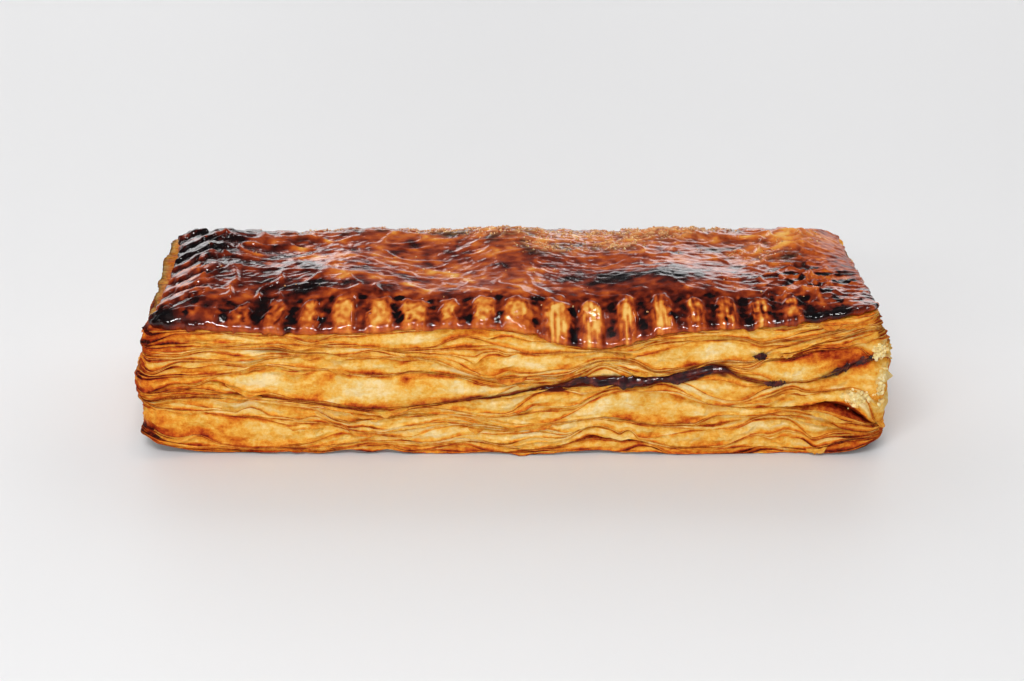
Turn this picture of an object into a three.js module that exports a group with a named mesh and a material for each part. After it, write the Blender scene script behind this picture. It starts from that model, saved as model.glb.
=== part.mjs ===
// A baked puff-pastry turnover: a long block of laminated dough, crimped with a fork round its top rim.
// It is one closed solid. Rings of points run round the block from the flat underside, up over ten flaky
// layers that bulge and pinch, out to the lip of the glazed top crust, up its crimped band and on to the
// raised middle. Millimetres, +Z up, X along the block, origin in the middle of the underside.
import * as THREE from "three";

// ---- Driving dimensions ----
const LENGTH = 152; // nominal block, before single layers stand proud
const WIDTH = 54;
const CORNER_RADIUS = 4;
const PLATEAU_HEIGHT = 31.6; // underside to the middle of the top crust
const BASE_INSET = 3.2; // the flat that it rests on stops short of the lowest layer's rim

// ---- Crimping: fork marks counted round the rim from the front-left corner ----
const CRIMPS_LONG = 21;
const CRIMPS_SHORT = 8;
const CRIMPS = 2 * (CRIMPS_LONG + CRIMPS_SHORT);
const CRIMP_PHASE = 0.64; // where in each pitch the raised lobe lies
const CRIMP_HEIGHT = 0.75; // lobe above, and groove below, the front band's mean surface
const CRIMP_FADE = 0.5; // how much fainter the marks are along the back
const BAND_WIDTH = 10.5; // lip to plateau, measured level
const LIP_THICKNESS = 1.5;

// ---- Lamination ----
const LOWER_LAYERS = [0.9, 2.3, 1.6, 2.0, 1.3]; // relative thicknesses, from the bottom up
const UPPER_LAYERS = [2.0, 1.5, 1.9, 1.4, 1.7];
const LAYERS = LOWER_LAYERS.length + UPPER_LAYERS.length;
const CREVICE_DEPTH = 1.7;
const CREVICE_LEAST = 0.4; // behind the less proud of its two neighbours
const SEAM_DEPTH = 2.6; // crevice between the two leaves of dough
const LAYER_FLARE = [0.7, 0.2, -0.2, 0.2, 0.7, 0.5, 0.3, 0.2, 0.1, 0]; // rims outside the nominal block
const LAYER_STRAY = 0.55; // how far a layer's rim wanders in and out
const LAYER_UNEVENNESS = 0.22; // share by which a layer's thickness varies round the rim
const LIP_SHARE = 0.2; // share of a layer's thickness taken by each rounded edge
const POCKET_RECESS = 0.12; // how far a steam pocket's face draws in, for each mm that it swells

// Heights round the rim, as [crimp station, mm]: the seam between the two leaves of dough, the crust's
// lower edge and the rim of the underside, which curls up a little at the corners.
const SEAM = [
  [0, 13.2], [2.2, 14.2], [4.8, 12.1], [6.5, 10.4], [8.7, 12.1], [11.2, 14.2], [12.5, 16.9], [14, 16.4],
  [16.4, 19.2], [17.8, 16.2], [19.4, 17.8], [20.8, 19.6], [25, 18], [30, 16], [35, 13.5], [40, 16.5],
  [45, 14], [49.5, 15.5], [54, 14.5],
];
const CRUST_EDGE = [
  [0, 26.4], [2, 26.9], [5, 26.8], [8, 27.6], [10.3, 27.2], [11.8, 25], [13, 24], [14.2, 24.8],
  [15.8, 27.2], [17.6, 28.6], [19.3, 29.4], [21, 30.4], [25, 28.8], [30, 28.2], [35, 26.8], [40, 27.8],
  [45, 26.4], [49.5, 27.4], [54, 27.2],
];
const BASE_RIM = [
  [0, 1.7], [2.2, 0.5], [6, 0.3], [11, 0.2], [16, 0.3], [19, 0.5], [21, 1.8], [25, 0.6], [29, 1.4],
  [34, 0.3], [40, 0.4], [46, 0.3], [50, 1.5], [54, 0.6],
];
// How far the crust's outline stands inside the nominal block, as [crimp station, mm].
const CRUST_INSET = [
  [0, 2.6], [2, 0.9], [10, 0.5], [13, 0.1], [17, 0.7], [19.8, 0.5], [21, 2.2], [23, 3.3], [25, 3.6],
  [27, 4.3], [29, 4.5], [31, 1.6], [35, 0.6], [42, 1], [48, 0.6], [50, 2.5], [52, 3.9], [54, 4.2],
  [56.5, 3.7],
];
// Share by which a crevice keeps inside its leaning neighbours; none at the left end, where the uppermost
// layer stands out from under the crust as a ledge.
const TUCK = [[0, 1], [10, 1], [30, 1], [48, 1], [50.5, 0], [56, 0], [57.2, 0.9]];
// How far the fork marks stray from even spacing, as [crimp station, crimp pitches].
const CRIMP_DRIFT = [[0, 0], [10, 0], [12.8, 0.18], [16, 0.13], [18, -0.04], [20.5, -0.3], [22.5, 0], [40, 0]];

// Steam pockets: each swells one layer over a stretch of the rim, as [station, half-length, layer, mm].
const FRONT_POCKETS = [
  [2.8, 3.9, 1, 3.4], [3.9, 4.2, 3, 1.8], [7.4, 1.9, 4, 1.2], [11.6, 2.4, 3, 1.5], [16.1, 3.4, 3, 3.2],
  [17.5, 3.6, 1, 2.4], [6.6, 3.6, 5, 3.8], [11, 2.4, 7, 2.6], [15.8, 3, 7, 3.6], [19.2, 1.6, 6, 2.2],
  [5.6, 3.6, 9, 1],
];
// Curled flakes: stretches where one layer's rim stands out, as [station, half-length, layer, mm].
const FLAKES = [
  [0.2, 1.5, 4, 0.7], [20.2, 1.6, 2, 1.1], [20.9, 1.2, 6, 0.5], [9.4, 1.8, 2, 0.7], [14.4, 1.4, 3, 0.7],
  [12.6, 1.6, 8, 0.6], [4, 2, 8, 0.5], [27.4, 1.6, 3, 0.6], [33, 1.8, 7, 0.8], [41.5, 2.2, 2, 0.8],
  [52.6, 1.5, 1, 0.6],
];
const REAR_POCKETS = 15; // spread by the golden ratio over the ends and the back
const REAR_HALF_LENGTH = [2, 4]; // range of the drawn pockets' half-lengths, in crimp pitches
const REAR_SWELLING = [1.4, 3.4]; // and of their swelling, in mm
const GOLDEN = (Math.sqrt(5) - 1) / 2;

// ---- Facets ----
const WALL_COLUMNS = 2 * CRIMPS; // two to each crimp pitch
const BAND_COLUMNS = 4 * CRIMPS;
const BAND_INSETS = [1.3, 3.4, 6, 8.6, BAND_WIDTH];
const PLATEAU_INSETS = [13.5, 17, 21.5];

const TURN = 2 * Math.PI;
const clamp01 = (t) => Math.min(Math.max(t, 0), 1);
const fraction = (t) => t - Math.floor(t);
const { lerp } = THREE.MathUtils;

/** Smooth closed curve through [station, value] pairs: cubic Hermite pieces with centred slopes. */
function roundTheRim(stations) {
  const n = stations.length;
  const at = (i) => {
    const lap = Math.floor(i / n);
    const [q, value] = stations[i - lap * n];
    return [q + lap * CRIMPS, value];
  };
  const slope = (i) => (at(i + 1)[1] - at(i - 1)[1]) / (at(i + 1)[0] - at(i - 1)[0]);
  return (station) => {
    const q = station - Math.floor(station / CRIMPS) * CRIMPS;
    let i = -1;
    while (at(i + 1)[0] <= q) i += 1;
    const [q0, v0] = at(i);
    const [q1, v1] = at(i + 1);
    const span = q1 - q0;
    const t = (q - q0) / span;
    const rise = t * t * (3 - 2 * t);
    const lead = t * (1 - t) * (1 - t) * span * slope(i);
    const tail = t * t * (1 - t) * span * slope(i + 1);
    return v0 + (v1 - v0) * rise + lead - tail;
  };
}

const seamHeight = roundTheRim(SEAM);
const crustEdgeHeight = roundTheRim(CRUST_EDGE);
const baseRimHeight = roundTheRim(BASE_RIM);
const crustInset = roundTheRim(CRUST_INSET);
const crimpDrift = roundTheRim(CRIMP_DRIFT);
const tuck = roundTheRim(TUCK);

/** Point of a rounded rectangle that stands `inset` inside the block, pushed `offset` outwards. */
function outline(station, inset, offset) {
  const q = station - Math.floor(station / CRIMPS) * CRIMPS;
  const a = LENGTH / 2 - inset;
  const b = WIDTH / 2 - inset;
  const half = CRIMPS / 2;
  const side = q < half ? 1 : -1; // the second half repeats the first, turned half a turn
  const run = q < half ? q : q - half;
  const onLong = run < CRIMPS_LONG;
  const along = (2 * run) / CRIMPS_LONG - 1;
  const across = (2 * (run - CRIMPS_LONG)) / CRIMPS_SHORT - 1;
  const x = side * (onLong ? (LENGTH / 2) * along - inset * along ** 3 : a);
  const y = side * (onLong ? -b : b * across);
  const radius = Math.min(CORNER_RADIUS, b);
  const p = clamp01((Math.abs(x) - a + radius) / radius);
  const r = clamp01((Math.abs(y) - b + radius) / radius);
  const shortenX = Math.sqrt(1 - (r * r) / 2);
  const shortenY = Math.sqrt(1 - (p * p) / 2);
  return new THREE.Vector2(
    x + Math.sign(x) * (offset * p * shortenX - radius * p * (1 - shortenX)),
    y + Math.sign(y) * (offset * r * shortenY - radius * r * (1 - shortenY)),
  );
}

/** All steam pockets: the named ones on the front, and drawn ones elsewhere. */
function allPockets() {
  const pockets = [...FRONT_POCKETS];
  for (let i = 0; i < REAR_POCKETS; i += 1) {
    const draw = fraction((i + 1) * GOLDEN);
    const station = CRIMPS_LONG + 1 + ((CRIMPS - CRIMPS_LONG - 2) * (i + 0.5)) / REAR_POCKETS;
    const halfLength = lerp(...REAR_HALF_LENGTH, draw);
    const layer = Math.floor(fraction(draw * 7) * LAYERS);
    pockets.push([station, halfLength, layer, lerp(...REAR_SWELLING, fraction(draw * 3))]);
  }
  return pockets;
}

const POCKETS = allPockets();

/** Sum in mm of the smooth bumps that a table of [station, half-length, layer, mm] gives a layer. */
function bumps(table, station, layer) {
  let sum = 0;
  for (const [centre, halfLength, own, gain] of table) {
    if (own !== layer) continue;
    const apart = fraction((station - centre) / CRIMPS + 0.5) - 0.5;
    const t = clamp01(1 - Math.abs((apart * CRIMPS) / halfLength));
    sum += gain * t * t * (3 - 2 * t);
  }
  return sum;
}

/** Extra thickness in mm that the steam pockets give a layer at a station. */
const swelling = (station, layer) => bumps(POCKETS, station, layer);

/** A layer's slow wave round the rim, from -1 to 1, with about the given number of lobes. */
function wave(station, layer, lobes) {
  const ownLobes = lobes + ((3 * layer) % 7);
  return Math.sin(TURN * ((station * ownLobes) / CRIMPS + layer * GOLDEN));
}

/** Heights of the layer boundaries at a station, from the rim of the underside to the crust's edge. */
function boundaries(station) {
  const uneven = (base, layer) => base * (1 + LAYER_UNEVENNESS * wave(station, layer, 5));
  const thickness = (base, layer) => uneven(base, layer) + swelling(station, layer);
  const leaves = [
    [baseRimHeight(station), seamHeight(station), LOWER_LAYERS, 0],
    [seamHeight(station), crustEdgeHeight(station), UPPER_LAYERS, LOWER_LAYERS.length],
  ];
  const heights = [baseRimHeight(station)];
  for (const [bottom, top, bases, first] of leaves) {
    const own = bases.map((base, i) => thickness(base, first + i));
    const scale = (top - bottom) / own.reduce((sum, t) => sum + t, 0);
    for (const t of own) heights.push(heights[heights.length - 1] + t * scale);
  }
  return heights;
}

/** How far a layer's rim stands outside the nominal block; the upper leaf leans in towards the crust. */
function protrusion(station, layer) {
  const above = Math.max(0, layer - LOWER_LAYERS.length + 1) / (UPPER_LAYERS.length + 0.5);
  const lean = crustInset(station) * above ** 1.5;
  const recess = POCKET_RECESS * swelling(station, layer);
  const stray = 0.6 * wave(station, layer, 8) + 0.4 * wave(station, layer + 3, 13);
  return LAYER_FLARE[layer] - lean - recess + bumps(FLAKES, station, layer) + LAYER_STRAY * stray;
}

/** How deep the crevice over a layer cuts in; it nearly closes where neighbours press together. */
function crevice(station, layer) {
  const depth = layer === LOWER_LAYERS.length - 1 ? SEAM_DEPTH : CREVICE_DEPTH;
  const cut = depth * (0.75 + 0.35 * wave(station, layer + 5, 6));
  const over = layer + 1 < LAYERS ? protrusion(station, layer + 1) : -crustInset(station);
  const inside = CREVICE_LEAST - Math.min(protrusion(station, layer), over);
  return cut + tuck(station) * Math.max(0, inside - cut);
}

/** Height of the raised middle of the crust. */
function plateau(x, y) {
  return PLATEAU_HEIGHT + 0.6 * Math.cos((TURN * x) / 33) + 0.4 * Math.sin(TURN * (y / 40 + x / 75));
}

/** Raised lobes and pressed grooves of the crimping, 1 to -1, fading out at the lip and the plateau. */
function crimp(station, inset) {
  const acrossBand = Math.sin(Math.PI * clamp01((inset + 1.5) / (BAND_WIDTH + 3))) ** 0.6;
  const fromFront = 0.5 - 0.5 * Math.cos((TURN * (station - CRIMPS_LONG / 2)) / CRIMPS);
  const mark = station - CRIMP_PHASE - crimpDrift(station);
  return Math.cos(TURN * mark) * acrossBand * (1 - CRIMP_FADE * fromFront);
}

/** Point of the crust's top surface, `inset` in from its lip. */
function crustPoint(station, inset) {
  const ease = clamp01(1 - inset / BAND_WIDTH);
  const { x, y } = outline(station, inset, -crustInset(station) * ease);
  const lip = crustEdgeHeight(station) + LIP_THICKNESS;
  const climb = 1 - ease ** 1.7;
  const mean = lip + (plateau(x, y) - lip) * climb;
  return new THREE.Vector3(x, y, mean + CRIMP_HEIGHT * crimp(station, inset));
}

/** Points round the rim, one to each column. */
function ring(columns, pointAt) {
  return Array.from({ length: columns }, (_, i) => pointAt((i * CRIMPS) / columns));
}

const wallPoint = (station, offset, height) => {
  const { x, y } = outline(station, 0, offset);
  return new THREE.Vector3(x, y, height);
};

/** The rings of the flaky wall, from the underside's flat up to the crevice under the crust. */
function wallRings() {
  const rings = [ring(WALL_COLUMNS, (q) => wallPoint(q, -BASE_INSET, 0))];
  for (let layer = 0; layer < LAYERS; layer += 1) {
    const edges = (q) => boundaries(q).slice(layer, layer + 2);
    const between = (q, share) => lerp(...edges(q), share);
    rings.push(ring(WALL_COLUMNS, (q) => wallPoint(q, protrusion(q, layer), between(q, LIP_SHARE))));
    rings.push(ring(WALL_COLUMNS, (q) => wallPoint(q, protrusion(q, layer), between(q, 1 - LIP_SHARE))));
    rings.push(ring(WALL_COLUMNS, (q) => wallPoint(q, -crevice(q, layer), between(q, 1))));
  }
  return rings;
}

/** The rings of the crust: its lip, the crimped band and the plateau. */
function crustRings() {
  const lip = (rise, proud) => (q) => wallPoint(q, proud - crustInset(q), crustEdgeHeight(q) + rise);
  return [
    ring(BAND_COLUMNS, lip(0.35, 0.1)),
    ring(BAND_COLUMNS, lip(LIP_THICKNESS - 0.2, 0.3)),
    ...BAND_INSETS.map((inset) => ring(BAND_COLUMNS, (q) => crustPoint(q, inset))),
    ...PLATEAU_INSETS.map((inset) => ring(WALL_COLUMNS, (q) => crustPoint(q, inset))),
  ];
}

/** Collects triangles, with every vertex given its place in one list. */
class Shell {
  constructor() {
    this.positions = [];
    this.faces = [];
  }

  /** Adds a ring's points and returns their indices. */
  add(points) {
    const first = this.positions.length / 3;
    for (const p of points) this.positions.push(p.x, p.y, p.z);
    return points.map((_, i) => first + i);
  }

  /** Joins a ring to the next one up; either may have twice the other's columns. */
  stitch(low, high) {
    const steps = Math.min(low.length, high.length);
    const lowStep = low.length / steps;
    const highStep = high.length / steps;
    for (let i = 0; i < steps; i += 1) {
      const below = Array.from({ length: lowStep + 1 }, (_, k) => low[(i * lowStep + k) % low.length]);
      const above = Array.from({ length: highStep + 1 }, (_, k) => high[(i * highStep + k) % high.length]);
      const apex = below[lowStep];
      for (let k = 0; k < lowStep; k += 1) this.faces.push(below[k], below[k + 1], above[0]);
      for (let k = 0; k < highStep; k += 1) this.faces.push(above[k], apex, above[k + 1]);
    }
  }

  /** Closes a ring by zipping its front to its back, from the middle of one end to the other. */
  zip(ringOfIndices, facingUp) {
    const n = ringOfIndices.length;
    const start = Math.round((n * (CRIMPS - CRIMPS_SHORT / 2)) / CRIMPS);
    const near = (k) => ringOfIndices[(start + k) % n];
    const far = (k) => ringOfIndices[(start - k + n) % n];
    const face = (a, b, c) => this.faces.push(...(facingUp ? [a, b, c] : [a, c, b]));
    face(near(0), near(1), far(1));
    for (let k = 1; k < n / 2 - 1; k += 1) {
      face(near(k), near(k + 1), far(k + 1));
      face(near(k), far(k + 1), far(k));
    }
    face(near(n / 2 - 1), near(n / 2), far(n / 2 - 1));
  }

  /** The finished geometry. */
  geometry() {
    const made = new THREE.BufferGeometry();
    made.setAttribute("position", new THREE.Float32BufferAttribute(this.positions, 3));
    made.setIndex(this.faces);
    made.computeVertexNormals();
    return made;
  }
}

/** The whole pastry as one closed mesh. */
function makePastry() {
  const shell = new Shell();
  const rings = [...wallRings(), ...crustRings()].map((points) => shell.add(points));
  shell.zip(rings[0], false);
  for (let i = 0; i + 1 < rings.length; i += 1) shell.stitch(rings[i], rings[i + 1]);
  shell.zip(rings[rings.length - 1], true);
  const bakedDough = new THREE.MeshStandardMaterial({ color: 0xc98a3f, roughness: 0.6, metalness: 0 });
  const pastry = new THREE.Mesh(shell.geometry(), bakedDough);
  pastry.name = "pastry";
  return pastry;
}

const turnover = new THREE.Group();
turnover.add(makePastry());

export default turnover;
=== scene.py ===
"""A baked puff-pastry turnover: flaky leaves, a crimped and glazed crust, burnt glaze, sugar and crumbs.

Lengths are in millimetres until a mesh is made. A station counts the fork marks round the rim, from the
front-left corner along the front, up the right end, back along the rear and down the left end.
"""

import logging
import math
from dataclasses import dataclass, field
from enum import Enum

import bpy
import numpy as np
from mathutils import Matrix, Vector


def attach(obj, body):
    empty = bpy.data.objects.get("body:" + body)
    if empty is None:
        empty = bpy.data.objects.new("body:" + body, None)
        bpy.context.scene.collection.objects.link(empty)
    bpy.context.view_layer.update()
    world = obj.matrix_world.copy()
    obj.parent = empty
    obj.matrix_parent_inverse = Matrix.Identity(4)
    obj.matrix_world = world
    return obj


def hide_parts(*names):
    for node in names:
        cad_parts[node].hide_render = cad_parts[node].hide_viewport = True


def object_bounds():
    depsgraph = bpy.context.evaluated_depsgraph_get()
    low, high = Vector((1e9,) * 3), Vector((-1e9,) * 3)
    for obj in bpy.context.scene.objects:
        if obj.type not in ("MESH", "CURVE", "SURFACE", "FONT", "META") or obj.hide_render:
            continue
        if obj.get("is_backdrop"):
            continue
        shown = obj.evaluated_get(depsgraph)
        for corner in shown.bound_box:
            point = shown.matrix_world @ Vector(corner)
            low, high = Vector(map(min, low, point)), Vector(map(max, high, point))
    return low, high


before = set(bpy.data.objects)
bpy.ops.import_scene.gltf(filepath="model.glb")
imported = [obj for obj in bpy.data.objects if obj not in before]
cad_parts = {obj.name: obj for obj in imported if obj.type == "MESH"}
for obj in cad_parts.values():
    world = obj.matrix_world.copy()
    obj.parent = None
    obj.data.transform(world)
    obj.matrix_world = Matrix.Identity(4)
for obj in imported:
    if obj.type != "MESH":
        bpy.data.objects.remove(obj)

MM = 0.001
NODE = "pastry"
BODY = "root"
log = logging.getLogger("turnover")

Array = np.ndarray
Pair = tuple[Array, Array]
Table = tuple[tuple[float, ...], ...]


class Slot(Enum):
    """Material slots of the pastry's pieces."""

    LEAVES = "flaky_layers"
    CRUST = "glazed_crust"
    CARAMEL = "caramel"
    CRUMBS = "sugar_and_crumbs"


# ---------------------------------------------------------------------------------------------- helpers


def smooth(value: Array, low: float, high: float) -> Array:
    """Smoothstep of value: 0 at low or less, 1 at high or more, with level ends."""
    t = np.clip((value - low) / (high - low), 0.0, 1.0)
    return t * t * (3.0 - 2.0 * t)


def ridge(value: Array, width: float) -> Array:
    """exp(-(value / width)^2): 1 along the zero lines of a field, falling off over the width."""
    return np.exp(-((value / width) ** 2))


def ripples(
    rng: np.random.Generator,
    shape: tuple[int, int],
    spacing: tuple[float, float],
    wavelength: tuple[float, float],
    angle: float = 0.0,
) -> Array:
    """Random field with one typical wavelength each way, repeating seamlessly along both axes.

    White noise keeps each Fourier term by k * exp(-k^2), where k is its frequency times the wavelength.

    Args:
        rng: Seeded generator.
        shape: Rows and columns.
        spacing: Distance in mm between rows and between columns.
        wavelength: Typical wavelength in mm across the rows and along the columns; 0 leaves rows unlinked.
        angle: Turn in radians of the pattern in the plane of the field.

    Returns:
        Field of the given shape with mean 0 and standard deviation 1.
    """
    down = np.fft.fftfreq(shape[0], spacing[0])[:, None]
    along = np.fft.rfftfreq(shape[1], spacing[1])[None, :]
    turned_along = along * math.cos(angle) + down * math.sin(angle)
    turned_down = down * math.cos(angle) - along * math.sin(angle)
    k = np.hypot(turned_along * wavelength[1], turned_down * wavelength[0])
    white = rng.standard_normal(shape)
    if wavelength[0] == 0:
        waves = np.fft.irfft(np.fft.rfft(white, axis=1) * (k * np.exp(-k * k))[:1], n=shape[1], axis=1)
    else:
        waves = np.fft.irfft2(np.fft.rfft2(white) * k * np.exp(-k * k), s=shape)
    return (waves - waves.mean()) / waves.std()


def linear_colour(hex_colour: str) -> tuple[float, float, float, float]:
    """Turns an sRGB colour linear.

    Args:
        hex_colour: Six hex digits such as "c8691e".

    Returns:
        Linear red, green, blue and an alpha of 1.
    """
    srgb = [int(hex_colour[i : i + 2], 16) / 255 for i in (0, 2, 4)]
    linear = [c / 12.92 if c <= 0.04045 else ((c + 0.055) / 1.055) ** 2.4 for c in srgb]
    return (linear[0], linear[1], linear[2], 1.0)


@dataclass(frozen=True)
class ClosedCurve:
    """Smooth closed curve through (station, value) pairs: cubic Hermite pieces with centred slopes."""

    points: Table
    lap: float

    def __call__(self, station: Array) -> Array:
        """Follows the curve.

        Args:
            station: Places along it, which may run past the lap.

        Returns:
            The curve's values there.
        """
        q, v = np.array(self.points).T
        q = np.concatenate([q[-2:] - self.lap, q, q[:2] + self.lap])
        v = np.concatenate([v[-2:], v, v[:2]])
        slope = np.zeros_like(v)
        slope[1:-1] = (v[2:] - v[:-2]) / (q[2:] - q[:-2])
        s = np.mod(station, self.lap)
        i = np.searchsorted(q, s, side="right") - 1
        span = q[i + 1] - q[i]
        t = (s - q[i]) / span
        rise = t * t * (3 - 2 * t)
        lead = t * (1 - t) ** 2 * span * slope[i]
        tail = t * t * (1 - t) * span * slope[i + 1]
        return v[i] + (v[i + 1] - v[i]) * rise + lead - tail


@dataclass(frozen=True)
class Block:
    """The pastry's nominal block, whose outline is a rounded rectangle."""

    length: float = 152.0
    width: float = 54.0
    corner_radius: float = 4.0
    marks_long: int = 21
    marks_short: int = 8

    @property
    def marks(self) -> int:
        """Fork marks all round the rim."""
        return 2 * (self.marks_long + self.marks_short)

    @property
    def perimeter(self) -> float:
        """Length in mm round the block."""
        return 2 * (self.length + self.width)

    def corners(self, x: Array, y: Array, a: Array, b: Array) -> tuple[Pair, Pair]:
        """How a rectangle's corners are rounded, and which way is outwards.

        Inside each corner square of side R, with (p, q) running from 0 to 1 towards the corner, the point
        moves to R * (p * sqrt(1 - q^2 / 2), q * sqrt(1 - p^2 / 2)), and outwards is along that direction.

        Args:
            x, y: Points on or in the rectangle.
            a, b: Its half length and half width.

        Returns:
            The outward direction's x and y, and how far x and y move back.
        """
        radius = np.minimum(self.corner_radius, b)
        p = np.clip((np.abs(x) - a + radius) / radius, 0, 1)
        q = np.clip((np.abs(y) - b + radius) / radius, 0, 1)
        short_x, short_y = np.sqrt(1 - q * q / 2), np.sqrt(1 - p * p / 2)
        out = np.sign(x) * p * short_x, np.sign(y) * q * short_y
        return out, (np.sign(x) * radius * p * (1 - short_x), np.sign(y) * radius * q * (1 - short_y))

    def outline(self, station: Array, offset: Array) -> Pair:
        """Points round the block, pushed outwards.

        Args:
            station: Places round the rim.
            offset: How far each point is pushed out.

        Returns:
            The points' x and y.
        """
        q = np.mod(station, self.marks)
        half = self.marks / 2
        side = np.where(q < half, 1.0, -1.0)
        run = np.where(q < half, q, q - half)
        on_long = run < self.marks_long
        along = 2 * run / self.marks_long - 1
        across = 2 * (run - self.marks_long) / self.marks_short - 1
        a, b = self.length / 2, self.width / 2
        x = side * np.where(on_long, a * along, a)
        y = side * np.where(on_long, -b, b * across)
        out, back = self.corners(x, y, a, b)
        return x + offset * out[0] - back[0], y + offset * out[1] - back[1]


BLOCK = Block()


def rim_curve(*points: tuple[float, float]) -> ClosedCurve:
    """Closed curve round the block's rim."""
    return ClosedCurve(tuple(points), float(BLOCK.marks))


def tube(rows: int, columns: int) -> list[Array]:
    """Faces of a closed tube: a grid of rings, each row one closed ring, with a polygon at both ends.

    Args:
        rows: Number of rings, lower ones first.
        columns: Vertices in each ring.

    Returns:
        The quads and the two end polygons, as vertex indices, facing outwards.
    """
    i, j = np.meshgrid(np.arange(rows - 1) * columns, np.arange(columns), indexing="ij")
    k = (j + 1) % columns
    quads = np.stack([i + j, i + k, i + columns + k, i + columns + j], -1)
    ring = np.arange(columns)
    return [quads.reshape(-1, 4), np.stack([ring[::-1], ring + (rows - 1) * columns])]


@dataclass
class Piece:
    """A mesh object in the making: vertices in mm, polygons, and per-vertex attributes."""

    name: str
    slot: Slot
    vertices: Array
    polygons: list[Array]
    attributes: dict[str, Array] = field(default_factory=dict)

    def build(self, finish: bpy.types.Material) -> bpy.types.Object:
        """Makes the object, smooth shaded and dressed, and ties it to the frame.

        Args:
            finish: Its material.

        Returns:
            The new object.
        """
        mesh = bpy.data.meshes.new(self.name)
        sizes = np.concatenate([np.full(len(p), p.shape[1]) for p in self.polygons])
        corners = np.concatenate([p.reshape(-1) for p in self.polygons])
        mesh.vertices.add(len(self.vertices))
        mesh.vertices.foreach_set("co", (self.vertices * MM).astype(np.float32).reshape(-1))
        mesh.loops.add(len(corners))
        mesh.loops.foreach_set("vertex_index", corners.astype(np.int32))
        mesh.polygons.add(len(sizes))
        starts = np.concatenate([[0], np.cumsum(sizes)[:-1]])
        mesh.polygons.foreach_set("loop_start", starts.astype(np.int32))
        mesh.update(calc_edges=True)
        mesh.polygons.foreach_set("use_smooth", np.ones(len(sizes), dtype=bool))
        for name, values in self.attributes.items():
            layer = mesh.attributes.new(name, "FLOAT", "POINT")
            layer.data.foreach_set("value", values.astype(np.float32).reshape(-1))
        mesh.materials.append(finish)
        piece = bpy.data.objects.new(self.name, mesh)
        bpy.context.scene.collection.objects.link(piece)
        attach(piece, BODY)
        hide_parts(NODE)
        log.info("%s: %d polygons", self.name, len(sizes))
        return piece


# ---------------------------------------------------------------------------------------------- finishes

Tree = bpy.types.NodeTree
Socket = bpy.types.NodeSocket

# Sockets of a colour Mix node that share their names, by number: two colours in and one out.
MIX_FIRST, MIX_SECOND, MIX_RESULT = 6, 7, 2


def add_node(tree: Tree, kind: str, inputs: dict | None = None, out: str | int = 0, **settings) -> Socket:
    """Adds a shader node with its settings and links.

    Args:
        tree: The material's node tree.
        kind: The node's type name without "ShaderNode".
        inputs: Values or sockets to join, by the input's name or number.
        out: The output asked for, by name or number.
        settings: The node's own properties.

    Returns:
        That output of the new node.
    """
    node = tree.nodes.new("ShaderNode" + kind)
    for name, value in settings.items():
        setattr(node, name, value)
    for key, value in (inputs or {}).items():
        if isinstance(value, Socket):
            tree.links.new(value, node.inputs[key])
        else:
            node.inputs[key].default_value = value
    return node.outputs[out]


def colour_ramp(tree: Tree, factor: Socket, stops: Table) -> Socket:
    """Colours a factor by (place, hex colour) stops.

    Args:
        tree: The material's node tree.
        factor: Socket that runs from 0 to 1.
        stops: Pairs of place and hex colour, in rising order.

    Returns:
        The ramp's colour socket.
    """
    ramp = add_node(tree, "ValToRGB", {"Fac": factor})
    elements = ramp.node.color_ramp.elements
    while len(elements) < len(stops):
        elements.new(0.5)
    for element, (place, _) in zip(elements, stops):
        element.position = place
    for element, (_, colour) in zip(elements, stops):
        element.color = linear_colour(colour)
    return ramp


class Finish:
    """A finish made of one principled shader: each kind says what goes into the shader's inputs."""

    name: str

    def inputs(self, tree: Tree) -> dict[str, object]:
        """The shader's inputs, as values or sockets by name."""
        raise NotImplementedError

    def noise(self, tree: Tree, where: Socket, size_mm: float, *detail: float) -> Socket:
        """Noise from 0 to 1 of a given size, with its detail and roughness."""
        names = dict(zip(("Detail", "Roughness"), detail))
        return add_node(tree, "TexNoise", {"Vector": where, "Scale": 1 / (size_mm * MM), **names})

    def swung(self, tree: Tree, noise: Socket, gain: float, base: Socket) -> Socket:
        """The base plus gain times the noise's distance from its middle, 0.5."""
        centred = add_node(tree, "Math", {0: noise, 1: 0.5}, operation="SUBTRACT")
        return add_node(tree, "Math", {0: centred, 1: gain, 2: base}, operation="MULTIPLY_ADD")

    def build(self) -> bpy.types.Material:
        """Makes the material.

        Returns:
            The new material.
        """
        material = bpy.data.materials.new(self.name)
        material.use_nodes = True
        tree = material.node_tree
        tree.nodes.clear()
        shader = add_node(tree, "BsdfPrincipled", self.inputs(tree))
        tree.links.new(shader, tree.nodes.new("ShaderNodeOutputMaterial").inputs["Surface"])
        return material


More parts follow.
